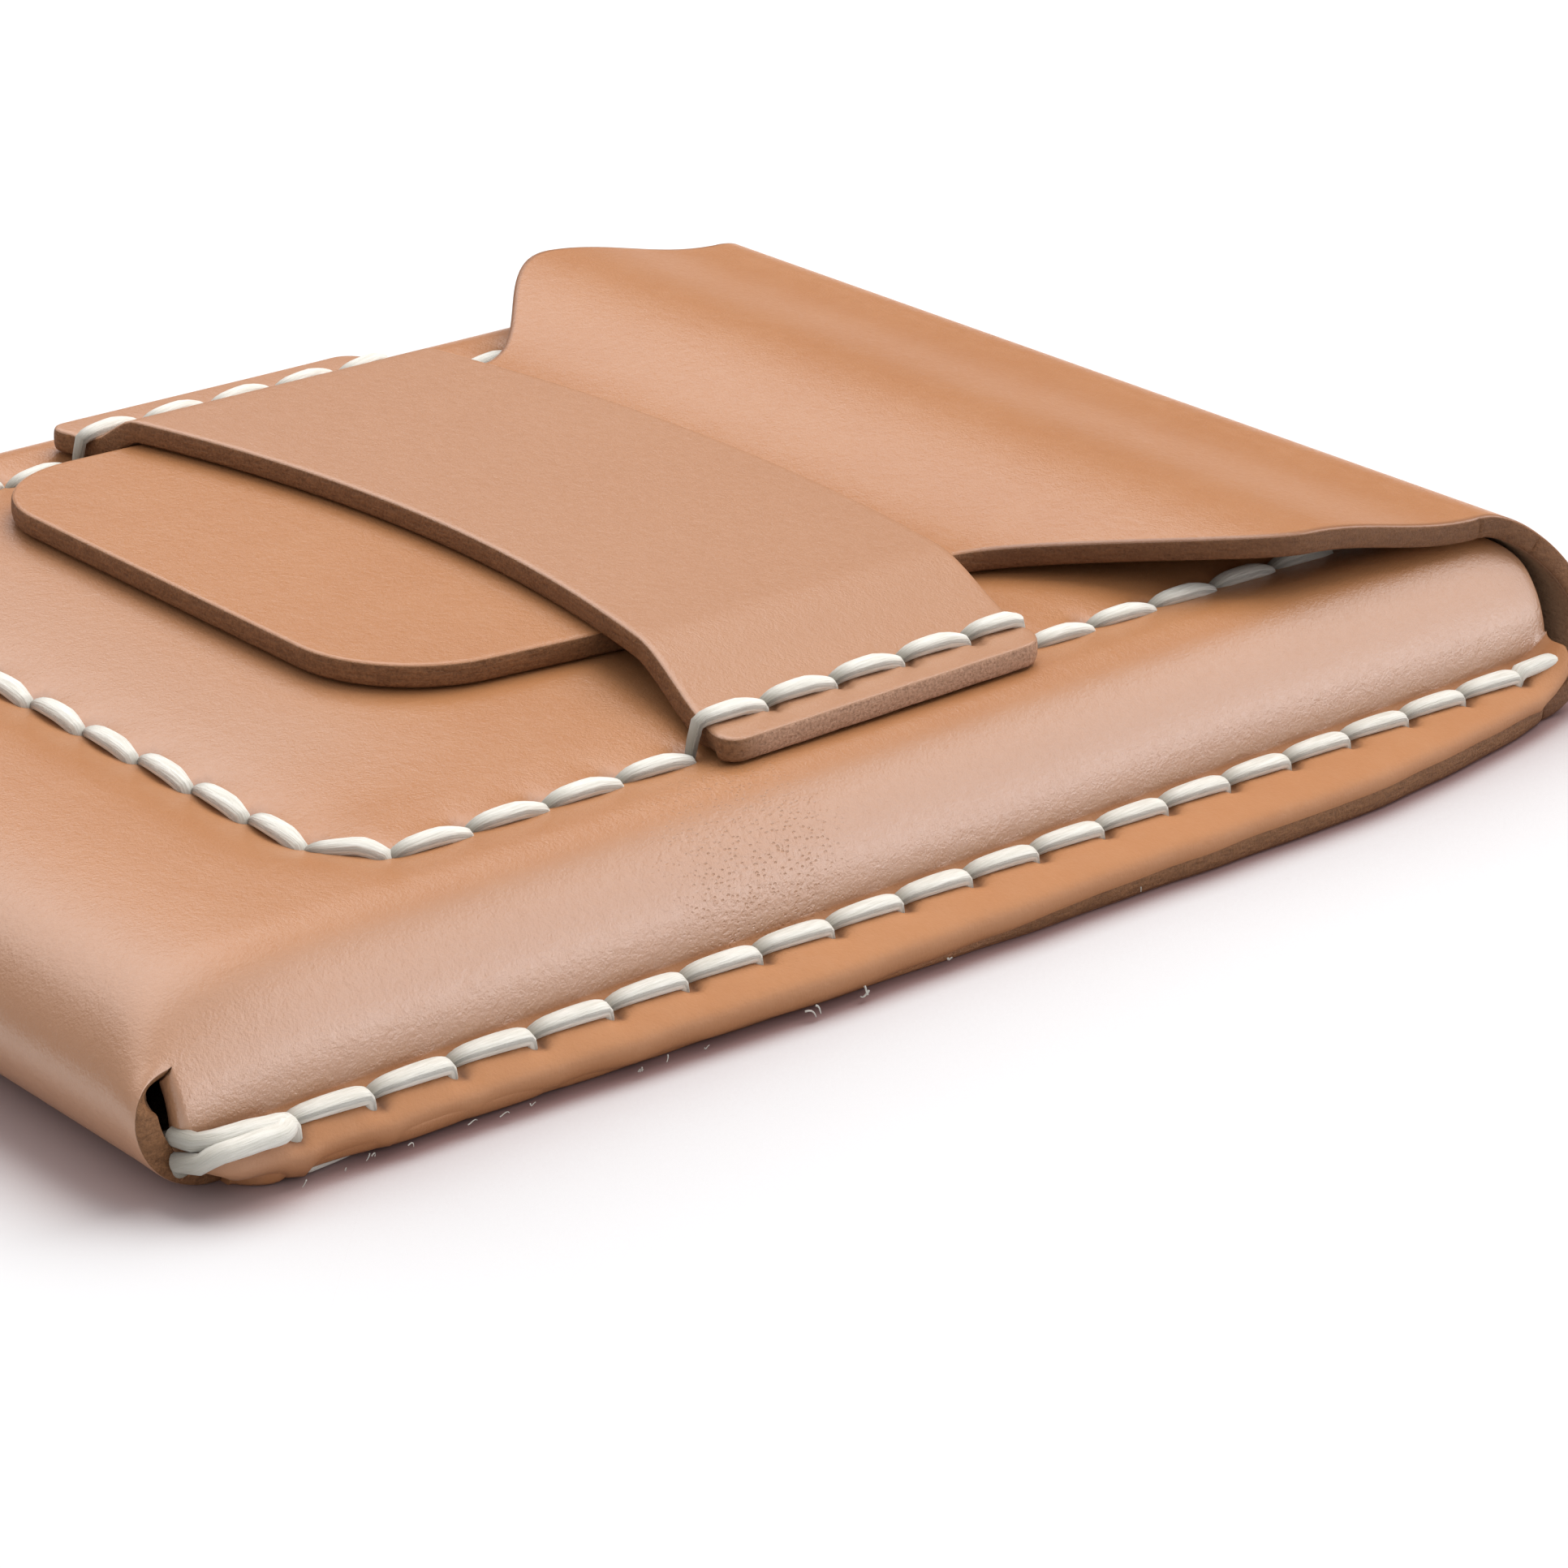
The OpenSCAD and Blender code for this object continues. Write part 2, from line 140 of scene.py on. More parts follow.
def roundedSet(*parts):  # rising places, each once
    return np.array(sorted(set(np.round(np.concatenate(parts), 6))))


def finerAtEnds(edge, few, many):  # places from -1 to 1, closer together past edge
    return roundedSet(np.linspace(-1, -edge, few), np.linspace(-edge, edge, many), np.linspace(edge, 1, few))


def makeMesh(name, verts, faces, material, attrs, sharp=50):
    me = bpy.data.meshes.new(name)
    me.from_pydata((np.asarray(verts) * mm).tolist(), [], faces)
    me.polygons.foreach_set("use_smooth", [True] * len(me.polygons))
    for key, values in attrs.items():
        a = me.attributes.new(key, "FLOAT", "POINT")
        a.data.foreach_set("value", np.asarray(values, np.float32))
    me.update()
    me.set_sharp_from_angle(angle=math.radians(sharp))
    me.materials.append(material)
    ob = bpy.data.objects.new(name, me)
    bpy.context.scene.collection.objects.link(ob)
    return ob


def normalsOf(p):
    n = np.cross(np.gradient(p, axis=0), np.gradient(p, axis=1))
    return n / np.maximum(np.linalg.norm(n, axis=2, keepdims=True), 1e-9)


# a sheet of leather from a grid of points on its grain side: edges says how far each of the
# four sides rounds out, raw how bare its cut is, and a fifth number is for cuts inside the grid
def leatherSheet(name, p, edges, attrs, raw=(1, 1, 1, 1), keep=None, roundPower=0.6, rows=8, rim=None):
    nu, nv = p.shape[:2]
    count = nu * nv
    ids = np.arange(count).reshape(nu, nv)
    ok = np.ones((nu - 1, nv - 1), bool) if keep is None else keep
    quads = np.stack([ids[:-1, :-1], ids[1:, :-1], ids[1:, 1:], ids[:-1, 1:]], axis=2)[ok]
    flat, normal = p.reshape(-1, 3), normalsOf(p).reshape(-1, 3)
    used = np.zeros(count, bool)
    used[quads.reshape(-1)] = True
    sides = {}  # each side of a kept cell, in the cell's own order
    for q in quads.tolist():
        for e in range(4):
            sides[(q[e], q[(e + 1) % 4])] = e
    edge = [(u, v, e) for (u, v), e in sides.items() if (v, u) not in sides]
    out, rawness, met = np.zeros((count, 3)), np.zeros(count), np.zeros(count)
    for u, v, e in edge:
        onRim = (u % nv == 0, u // nv == nu - 1, u % nv == nv - 1, u // nv == 0)[e]
        kind = e if onRim else 4
        d = np.cross(flat[v] - flat[u], normal[u] + normal[v])
        d /= max(np.linalg.norm(d), 1e-9)
        for k in (u, v):
            out[k] += d * max(edges[kind], 1e-4)
            rawness[k] = max(rawness[k], raw[kind])
            met[k] += 1
    ringIds = np.array(sorted({k for u, v, e in edge for k in (u, v)}))
    place = {int(k): m for m, k in enumerate(ringIds)}
    length = np.linalg.norm(out, axis=1)
    far = np.minimum(length / np.maximum(met, 1), 1.0)
    out = out / np.maximum(length[:, None], 1e-9) * far[:, None]
    rimAt = {}
    for key, plain in (("deep", hideT), ("raw", 1.0), ("out", 1.0)):
        rimAt[key] = np.broadcast_to((rim or {}).get(key, plain), (nu, nv)).reshape(-1, 1)[ringIds]
    verts, rings = [flat], []
    values = {"raw": [np.zeros(count)], "flesh": [np.zeros(count)]}
    extra = {key: [np.asarray(a).reshape(-1)] for key, a in attrs.items()}
    fleshFrom = count
    for k in range(1, rows):  # rounds the cut edge, row by row, from grain to flesh
        turn = math.pi * k / rows
        roundOut = out[ringIds] * rimAt["out"] * math.sin(turn) ** roundPower
        verts.append(flat[ringIds] + roundOut - normal[ringIds] * rimAt["deep"] * (1 - math.cos(turn)) / 2)
        rings.append(fleshFrom + np.arange(len(ringIds)))
        fleshFrom += len(ringIds)
        values["raw"].append(rawness[ringIds] * rimAt["raw"][:, 0] * float(smooth((k - 0.5) / 1.6)))
        values["flesh"].append(np.zeros(len(ringIds)))
        for a in extra.values():
            a.append(a[0][ringIds])
    verts.append(flat - normal * hideT)
    values["raw"].append(np.zeros(count))
    values["flesh"].append(np.ones(count))
    for a in extra.values():
        a.append(a[0])
    faces = quads.tolist() + (quads[:, ::-1] + fleshFrom).tolist()
    levels = [ringIds] + rings + [ringIds + fleshFrom]
    for u, v, e in edge:
        iu, iv = place[u], place[v]
        for r0, r1 in zip(levels[:-1], levels[1:]):
            faces.append([int(r0[iu]), int(r1[iu]), int(r1[iv]), int(r0[iv])])
    values.update(extra)
    verts = np.concatenate(verts)
    live = np.ones(len(verts), bool)  # leaves out the points of cells that are not kept
    live[:count] = used
    live[fleshFrom:] = used
    new = np.cumsum(live) - 1
    faces = [[int(new[k]) for k in f] for f in faces]
    attrs = {key: np.concatenate(a)[live] for key, a in values.items()}
    return makeMesh(name, verts[live], faces, leather, attrs)


def spread(a, b, step):  # places from a to b, about step apart
    full = np.linspace(a, b, max(2, int(round(abs(b - a) / step)) + 1))
    return np.array(sorted(set(np.round(full, 5)), reverse=b < a))


def newMaterial(name):
    m = bpy.data.materials.new(name)
    m.use_nodes = True
    nt = m.node_tree
    nt.nodes.clear()
    return m, nt


def node(nt, kind, **values):
    n = nt.nodes.new(kind)
    for key, v in values.items():
        if key in n.inputs:
            n.inputs[key].default_value = v
        else:
            setattr(n, key, v)
    return n


def link(nt, a, b):
    nt.links.new(a, b)


def put(nt, v, sock):  # a link, a number or a colour into a socket
    if isinstance(v, bpy.types.NodeSocket):
        link(nt, v, sock)
    else:
        sock.default_value = (*v, 1.0) if isinstance(v, tuple) else v


def mixColor(nt, fac, a, b):
    m = node(nt, "ShaderNodeMix", data_type="RGBA")
    for k, v in ((0, fac), (6, a), (7, b)):
        put(nt, v, m.inputs[k])
    return m.outputs[2]


def calc(nt, op, a, b, clamp=False):
    m = node(nt, "ShaderNodeMath", operation=op, use_clamp=clamp)
    put(nt, a, m.inputs[0])
    put(nt, b, m.inputs[1])
    return m.outputs[0]


def add(nt, a, b, clamp=False):
    return calc(nt, "ADD", a, b, clamp)


def mul(nt, a, b, clamp=False):
    return calc(nt, "MULTIPLY", a, b, clamp)


def mapRange(nt, v, a, b, c, d):
    m = nt.nodes.new("ShaderNodeMapRange")
    for k, value in enumerate((v, a, b, c, d)):
        put(nt, value, m.inputs[k])
    return m.outputs[0]


def attribute(nt, name):
    return node(nt, "ShaderNodeAttribute", attribute_name=name).outputs["Fac"]


def noise(nt, vec, scale, detail=3.0, rough=0.5, dist=0.0):
    n = node(nt, "ShaderNodeTexNoise", Scale=scale, Detail=detail, Roughness=rough, Distortion=dist)
    link(nt, vec, n.inputs["Vector"])
    return n.outputs["Fac"]


def stretched(nt, vec, scale, turn=0.0):
    m = node(nt, "ShaderNodeMapping", Scale=scale, Rotation=(0, 0, math.radians(turn)))
    link(nt, vec, m.inputs["Vector"])
    return m.outputs[0]


def bumpFrom(nt, height, strength):
    bump = node(nt, "ShaderNodeBump", Strength=strength, Distance=0.00009)
    link(nt, height, bump.inputs["Height"])
    return bump.outputs[0]


def shaderOut(nt, shader, kind="ShaderNodeOutputMaterial"):
    link(nt, shader.outputs[0], nt.nodes.new(kind).inputs[0])


hideLook = {
    "tan": (0.43, 0.196, 0.081),
    "deep": (0.405, 0.176, 0.068),
    "pale": (0.455, 0.225, 0.106),
    # the pale colour of a painted sheen, standing in for the room mirrored in the grain
    "paintedSheen": (0.43, 0.24, 0.145),
    "cutDark": (0.12, 0.053, 0.021),
    "cutPale": (0.29, 0.140, 0.062),
    "cutWorn": (0.60, 0.37, 0.26),
    # painted shade in the stitch holes and on shaded cut edges; also the colour of the pores
    "dent": (0.10, 0.04, 0.018),
    "flesh": (0.27, 0.155, 0.088),
    "fleshDeep": (0.20, 0.11, 0.06),
    "rough": (0.29, 0.38),
    "gloss": (0.5, 0.12),  # specular level of the grain and of a dull cut
    "ior": 1.9,
    "poresAt": (-12.5, -35.8, 7.4),
    "poresReach": (6.0, 11.0),
}


def leatherMaterial():
    m, nt = newMaterial("naturalLeather")
    scale = node(nt, "ShaderNodeVectorMath", operation="SCALE")
    scale.inputs["Scale"].default_value = 1000
    link(nt, node(nt, "ShaderNodeTexCoord").outputs["Object"], scale.inputs[0])
    pos = scale.outputs[0]  # millimetres
    raw, flesh, dent = (attribute(nt, name) for name in ("raw", "flesh", "dent"))
    paintedSheen, matt, pale = (attribute(nt, name) for name in ("paintedSheen", "matt", "pale"))
    slow = noise(nt, pos, 0.055, 2.0)
    mottle = noise(nt, pos, 0.45, 4.0, 0.6)
    fine = noise(nt, pos, 2.6, 3.0, 0.6)
    speck = noise(nt, pos, 5.5, 3.0, 0.7)
    # pores show in one place
    pore = node(nt, "ShaderNodeTexVoronoi", Scale=3.7, Randomness=0.7)
    link(nt, stretched(nt, pos, (0.75, 1.5, 1.0), 28), pore.inputs["Vector"])
    away = node(nt, "ShaderNodeVectorMath", operation="DISTANCE")
    link(nt, pos, away.inputs[0])
    away.inputs[1].default_value = hideLook["poresAt"]
    reach = add(nt, away.outputs["Value"], mul(nt, noise(nt, pos, 0.3, 2.0), 6.0))
    patch = mapRange(nt, reach, *hideLook["poresReach"], 1.0, 0.0)
    pits = mul(nt, mapRange(nt, pore.outputs["Distance"], 0.10, 0.30, 1.0, 0.0), patch)
    # grain side
    col = mixColor(nt, mapRange(nt, slow, 0.35, 0.65, 0.0, 0.75), hideLook["tan"], hideLook["deep"])
    col = mixColor(nt, mapRange(nt, mottle, 0.42, 0.72, 0.0, 0.34), col, hideLook["pale"])
    col = mixColor(nt, mapRange(nt, fine, 0.35, 0.75, 0.0, 0.16), col, hideLook["deep"])
    col = mixColor(nt, mul(nt, pits, 0.22), col, hideLook["dent"])
    # painted sheen: paler where the grain would mirror the bright room
    col = mixColor(nt, mul(nt, paintedSheen, 0.6), col, hideLook["paintedSheen"])
    # cut edge, with fibres in layers
    streak = noise(nt, stretched(nt, pos, (0.9, 0.9, 5.0)), 0.9, 4.0, 0.65)
    layers = mapRange(nt, add(nt, mul(nt, streak, 0.4), mul(nt, speck, 0.6)), 0.34, 0.66, 0.0, 1.0)
    cut = mixColor(nt, layers, hideLook["cutDark"], hideLook["cutPale"])
    faded = mul(nt, pale, mapRange(nt, speck, 0.35, 0.65, 0.25, 0.75))
    cut = mixColor(nt, faded, cut, hideLook["cutWorn"])
    frayed = add(nt, raw, mul(nt, calc(nt, "SUBTRACT", speck, 0.5), 0.5))
    edge = mul(nt, mapRange(nt, frayed, 0.32, 0.62, 0.0, 1.0), calc(nt, "GREATER_THAN", raw, 0.02))
    col = mixColor(nt, edge, col, cut)
    # suede side, then holes and grooves, where the holes and shaded cut edges get painted shade
    nap = mapRange(nt, noise(nt, pos, 3.4, 5.0, 0.7), 0.3, 0.7, 0.0, 1.0)
    col = mixColor(nt, flesh, col, mixColor(nt, nap, hideLook["flesh"], hideLook["fleshDeep"]))
    # painted shade of the stitch holes and of shaded cut edges
    col = mixColor(nt, mul(nt, dent, 0.92, True), col, hideLook["dent"])
    rough = mapRange(nt, fine, 0.3, 0.7, *hideLook["rough"])
    rough = add(nt, rough, mul(nt, calc(nt, "MAXIMUM", edge, matt), 0.26))
    rough = add(nt, rough, mul(nt, flesh, 0.40), True)
    broad, close = noise(nt, pos, 1.5, 4.0, 0.65), noise(nt, pos, 6.0, 2.0, 0.6)
    grain = add(nt, mul(nt, broad, 0.6), mul(nt, close, 0.25))
    grain = calc(nt, "SUBTRACT", grain, mul(nt, pits, 0.55))
    grain = add(nt, grain, mul(nt, fine, patch))
    bare = calc(nt, "MAXIMUM", edge, flesh)
    height = nt.nodes.new("ShaderNodeMix")
    link(nt, bare, height.inputs[0])
    link(nt, grain, height.inputs[2])
    link(nt, add(nt, mul(nt, streak, 2.2), mul(nt, speck, 1.6)), height.inputs[3])
    b = node(nt, "ShaderNodeBsdfPrincipled", IOR=hideLook["ior"])
    link(nt, col, b.inputs["Base Color"])
    link(nt, rough, b.inputs["Roughness"])
    link(nt, bumpFrom(nt, height.outputs[0], 0.7), b.inputs["Normal"])
    dull = calc(nt, "MAXIMUM", bare, mul(nt, matt, 0.65))
    link(nt, mapRange(nt, dull, 0.0, 1.0, *hideLook["gloss"]), b.inputs["Specular IOR Level"])
    shaderOut(nt, b)
    return m


threadLook = {
    "wax": (0.80, 0.79, 0.73),
    "deep": (0.55, 0.53, 0.45),
    "hole": (0.13, 0.11, 0.07),  # painted shade where it goes into the leather
    "rough": 0.62,
    "sheen": 0.25,
}


def threadMaterial():
    m, nt = newMaterial("waxedThread")
    uv = node(nt, "ShaderNodeUVMap", uv_map="strand").outputs[0]
    fibre = noise(nt, stretched(nt, uv, (0.55, 26.0, 1.0)), 1.0, 4.0, 0.6, 0.15)
    ply = noise(nt, stretched(nt, uv, (0.35, 7.0, 1.0)), 1.0, 2.0, 0.5, 0.3)
    col = mixColor(nt, mapRange(nt, fibre, 0.36, 0.62, 0.55, 0.0), threadLook["wax"], threadLook["deep"])
    col = mixColor(nt, mapRange(nt, ply, 0.40, 0.55, 0.22, 0.0), col, threadLook["deep"])
    # painted shade where the thread dives into its hole
    col = mixColor(nt, mul(nt, attribute(nt, "dent"), 0.85, True), col, threadLook["hole"])
    b = node(nt, "ShaderNodeBsdfPrincipled", Roughness=threadLook["rough"])
    b.inputs["Sheen Weight"].default_value = threadLook["sheen"]
    b.inputs["Sheen Roughness"].default_value = 0.5
    link(nt, col, b.inputs["Base Color"])
    link(nt, bumpFrom(nt, add(nt, fibre, mul(nt, ply, 1.5)), 0.8), b.inputs["Normal"])
    shaderOut(nt, b)
    return m


leather = leatherMaterial()
thread = threadMaterial()
print("materials made")


mark = {
    "hole": 0.30,  # spread of a hole, squared
    "pucker": 0.12,  # soft pull round it
    # painted shade at the centre of a hole
    "holeShade": 0.9,
}


# how far the stitches pull the grain in at x, y, and the painted shade of the holes
def stitchMarks(x, y, holes, lines, depth=0.42, groove=0.16, width=0.8, shift=(0.12, -0.42)):
    pull, holeShade = np.zeros_like(x), np.zeros_like(x)
    for hx, hy in holes:
        hx, hy = hx + shift[0], hy + shift[1]
        near = (abs(x - hx) < 4) & (abs(y - hy) < 4)
        d2 = (x[near] - hx) ** 2 + (y[near] - hy) ** 2
        dent = depth * np.exp(-d2 / mark["hole"]) + mark["pucker"] * np.exp(-d2 / 2.4)
        pull[near] = np.maximum(pull[near], dent)
        holeShade[near] = np.maximum(holeShade[near], mark["holeShade"] * np.exp(-(d2 / 0.24) ** 1.3))
    for (ax, ay), (bx, by) in lines:
        dx, dy = bx - ax, by - ay
        t = np.clip(((x - ax) * dx + (y - ay) * dy) / (dx * dx + dy * dy), 0, 1)
        d2 = (x - ax - t * dx) ** 2 + (y - ay - t * dy) ** 2
        pull = np.maximum(pull, groove * np.exp(-d2 / width ** 2))
    return pull, holeShade


front = {
    "shoulder": 86,  # degrees that it turns down
    "crease": 0.55,  # radius between shoulder and flange
    "corner": 3.2,  # power that squares the corner of shoulder and bottom fold
    "slotTop": 7.1,  # height up to which the bottom fold is free of the side
    "slotFrom": 25,  # degrees down from the top of the bottom fold
    "slotOpen": 0.75,
    "mouthOut": 2.0,  # how far the sides of the mouth reach past its middle
    "mouthFrom": 36,
    "panelIn": 0.42,  # dip of the grain along the pocket's seam
    "panelDip": 0.62,  # and more at its bottom
    "sagFrom": -40.5,
    "uneven": 0.07,
    "flangeEnd": -49.4,
    "flangeDeep": ([-50, -12, 12, 48], [2.15, 2.05, 1.70, 1.50]),
    "flangeFall": ([-50, -10, 15, 48], [0.75, 0.65, 0.5, 0.4]),
}
shoulderDrop, shoulderWide = body["height"] - body["flangeZ"], body["footY"] - body["flatY"]
slotTurn = math.radians(front["slotFrom"])
slotEdge = math.degrees(math.acos(1 - (body["height"] - front["slotTop"]) / shoulderDrop))


def frontRows():  # from the near edge to the far one: side, part of the section, place in it
    flat, fine = body["flatY"], pocket["y"] + np.linspace(-1.4, 1.4, 9)
    coarse = [y for y in spread(flat, 0, 0.8)[1:] if abs(y - pocket["y"]) > 1.8]
    flats = sorted(set(np.round(np.concatenate([fine, coarse]), 4)), reverse=True)
    arcs = np.concatenate([np.linspace(0, slotEdge, 15), np.linspace(slotEdge, front["shoulder"], 9)[1:]])
    lay = [1.0, 0.94, 0.87, 0.76, 0.65, 0.54, 0.44, 0.34, 0.24, 0.14, 0.06]
    kinds = [("lay", t) for t in lay] + [("turn", t) for t in np.linspace(0, 1, 6)[:0:-1]]
    kinds += [("arc", b) for b in arcs[::-1]] + [("flat", y) for y in flats]
    return [(-1, k, v) for k, v in kinds] + [(1, k, v) for k, v in kinds[::-1][1:]]


def flangePoint(kind, v, x):
    b = math.radians(front["shoulder"])
    y0 = body["flatY"] + shoulderWide * math.sin(b)
    z0 = body["height"] - shoulderDrop * (1 - math.cos(b))
    if kind == "turn":
        c = math.pi / 2 * v
        z = body["flangeZ"] + (z0 - body["flangeZ"]) * (1 - math.sin(c))
        return y0 + front["crease"] * (1 - math.cos(c)), z
    t = min(max((x - front["flangeEnd"]) / 1.7, 0), 1)
    outer = float(edgeHalf(x)) - 0.8 - 1.3 * (1 - math.sqrt(1 - (1 - t) ** 2))
    y = y0 + front["crease"] + (outer - y0 - front["crease"]) * v
    past = max(0, (y - body["sideY"] - 0.1) / (outer - body["sideY"] - 0.1))
    return y, body["flangeZ"] - np.interp(x, *front["flangeFall"]) * past ** 1.7


def shoulderPoint(kind, v, turn, foldDrop):
    y, down, power = v, 0.0, front["corner"]
    if kind == "arc":
        b = math.radians(v)
        y, down = body["flatY"] + shoulderWide * math.sin(b), shoulderDrop * (1 - math.cos(b))
        if abs(v - slotEdge) < 0.01 and turn > slotTurn + 0.01:  # the slot's free edge stands off
            y += front["slotOpen"] * float(smooth((math.degrees(turn) - front["slotFrom"]) / 65))
    if turn > math.pi / 2:
        side = (bend ** power + down ** power) ** (1 / power)
        return y, (body["height"] - side) * (1 + math.cos(turn))
    return y, body["height"] - (foldDrop ** power + down ** power) ** (1 / power)


def frontGrid(rows, turns, along):  # columns go round the bottom fold, then along to the mouth
    p = np.zeros((len(turns) + len(along), len(rows), 3))
    columns = [(a, body["bottomX"] - bend * math.sin(a), bend * (1 - math.cos(a))) for a in turns]
    columns += [(0.0, x, 0.0) for x in along]
    for j, (side, kind, v) in enumerate(rows):
        for i, (turn, x, foldDrop) in enumerate(columns):
            if kind in ("turn", "lay"):
                y, z = flangePoint(kind, v, x)
            else:
                y, z = shoulderPoint(kind, v, turn, foldDrop)
            p[i, j] = (x, side * y, z)
    return p


def shapeMouth(p, first):  # reaches further at the sides, and rides up inside the top fold
    for j in range(p.shape[1]):
        y, past = abs(p[-1, j, 1]), p[first:, j, 0] - front["mouthFrom"]
        more = front["mouthOut"] * float(smooth((y - body["flatY"]) / 4.5))
        more -= 0.35 * float(smooth((y - body["sideY"]) / 3))
        p[first:, j, 0] += more * past / (body["mouthX"] - 0.3 - front["mouthFrom"]) * (past > 0)
    inR = body["topR"] - hideT
    off = np.clip(p[..., 0] - body["topX"], 0, inR - 0.01)
    ride = np.maximum(body["topR"] - np.sqrt(inR ** 2 - off ** 2) - hideT, 0)
    p[..., 2] += (ride + 0.05 * (ride > 0)) * smooth((4.4 - p[..., 2]) / 1.2)


def softenCorners(p, first, inside):  # rubs down the ridge where shoulder and bottom fold meet
    weight = np.zeros(p.shape[:2])
    weight[:, inside] = np.exp(-((np.arange(len(p)) - first + 6) / 9.0) ** 2)[:, None]
    weight[:2] = 0
    for _ in range(14):
        avg = p.copy()
        avg[1:-1, 1:-1] = (p[:-2, 1:-1] + p[2:, 1:-1] + p[1:-1, :-2] + p[1:-1, 2:]) / 4
        p += (avg - p) * weight[..., None] * 0.5


def pocketDip(x, y):  # the grain sinks to the pocket's seam from both sides
    dipX, dipY = x - pocket["x"], pocket["y"] - abs(y)
    toSeam = np.minimum(dipY, dipX - 0.5 * np.maximum(abs(y) - pocket["bottomY"], 0))
    dip = -front["panelIn"] * np.exp(-(toSeam / np.where(toSeam > 0, 3.0, 2.6)) ** 2)
    low = np.exp(-(dipX / np.where(dipX > 0, 10.0, 3.0)) ** 2)
    return dip - front["panelDip"] * low * smooth((dipY + 1) / 9)


def frontPaintedSheen(x, y, onTop, turned):  # painted sheen: paler by the seam's bottom, at the fold and on the shoulders, where the grain would mirror the bright room
    paintedSheen = (1 - smooth((x + 27) / 11)) * smooth((x - pocket["x"] + 0.4) / 0.8)
    paintedSheen = paintedSheen * smooth((y + 24) / 12) * smooth((29 - y) / 2)
    paintedSheen = np.maximum(paintedSheen * onTop, smooth((-43 - x) / 5))
    return np.maximum(paintedSheen, (smooth((turned - 18) / 14) * (turned < 89))[None, :])


def frontSheet():
    rows = frontRows()
    turned = np.array([v if kind == "arc" else (0 if kind == "flat" else 90) for _, kind, v in rows])
    turns = np.radians(np.concatenate([np.linspace(180, front["slotFrom"], 38), [18, 12, 6]]))
    first = len(turns)  # first column past the fold
    slotCol = int(np.argmin(abs(turns - slotTurn)))
    p = frontGrid(rows, turns, spread(body["bottomX"], body["mouthX"] - 0.3, 0.5))
    nu, nv = p.shape[:2]
    shapeMouth(p, first)
    softenCorners(p, first, turned < slotEdge - 4)
    x, y = p[..., 0].copy(), p[..., 1].copy()
    onTop, onFlange = smooth((p[..., 2] - 8.0) / 1.3), smooth((3.6 - p[..., 2]) / 0.6)
    corners = [(pocket["cornerX"], -pocket["y"]), (pocket["x"], -pocket["bottomY"]),
               (pocket["x"], pocket["bottomY"]), (pocket["cornerX"], pocket["y"])]
    line = [(pocket["endX"], -pocket["y"])] + corners + [(pocket["endX"], pocket["y"])]
    dx, dy = pocket["sideHole"]
    holes = [(hx + dx, s * pocket["y"] + dy) for s in (-1, 1) for hx in pocketHoles]
    dx, dy = pocket["bottomHole"]
    holes += [(pocket["x"] + dx, hy + dy) for hy in bottomHoles]
    pull, holeShade = stitchMarks(x, y, holes, list(zip(line[:-1], line[1:])), shift=(0, 0))
    sideLines = [((-49, s * 39.0), (body["lastX"], s * body["sideY"])) for s in (-1, 1)]
    sidePull, sideHoleShade = stitchMarks(x, y, [(hx, s * body["sideY"]) for s in (-1, 1) for hx in sideHoles],
                                     sideLines, width=0.75)
    run = np.maximum(front["sagFrom"] - x, 0)
    sag = np.where(run < 6.85, 0.0095 * run ** 2, 0.446 + 0.130 * (run - 6.85))
    sag = sag * smooth((p[..., 2] - 3.2) / 5.5)
    swell = front["uneven"] * ripple(x, y) * smooth((p[..., 2] - 3.5) / 3)
    dip = pocketDip(x, y)
    p = p + normalsOf(p) * swell[..., None]
    p[..., 2] += (dip - pull * 0.9) * onTop - sidePull * onFlange - sag
    keep = np.ones((nu - 1, nv - 1), bool)
    keep[:slotCol, np.minimum(turned[:-1], turned[1:]) >= slotEdge - 0.01] = False  # the slot
    flange = np.broadcast_to(turned >= 89.9, (nu, nv))
    attrs = {"dent": np.maximum(holeShade * onTop, sideHoleShade * onFlange), "paintedSheen": frontPaintedSheen(x, y, onTop, turned),
             "matt": flange * 1.0}
    slotEnd = np.zeros((nu, nv), bool)
    slotEnd[slotCol, :] = turned > slotEdge + 0.5
    rim = {"deep": np.where(flange, np.interp(x, *front["flangeDeep"]), hideT),
           "raw": np.where(slotEnd, 0.15, 1.0), "out": np.where(slotEnd, 2.6, 1.0)}
    return leatherSheet("hideFront", p, (0.8, 0.28, 0.8, 0.0, 0.2), attrs, raw=(0.12, 1, 0.12, 0, 1),
                        keep=keep, roundPower=0.8, rows=12, rim=rim)


hideFront = frontSheet()
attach(hideFront, "shell")
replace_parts(hideFront, "front_panel", "bottom_fold")
print("front made", len(hideFront.data.polygons))

back = {
    "edge": 0.35,  # how far its cut edge rounds out
    "cornerR": 2.5,
    "inset": ([-50, -12, 4, 20], [1.2, 1.1, 0.45, 0.2]),  # how far the front laps over it
    "bare": ([-50, -12, 2, 14], [0.12, 0.2, 0.7, 1.0]),
    "groove": 0.48,
}


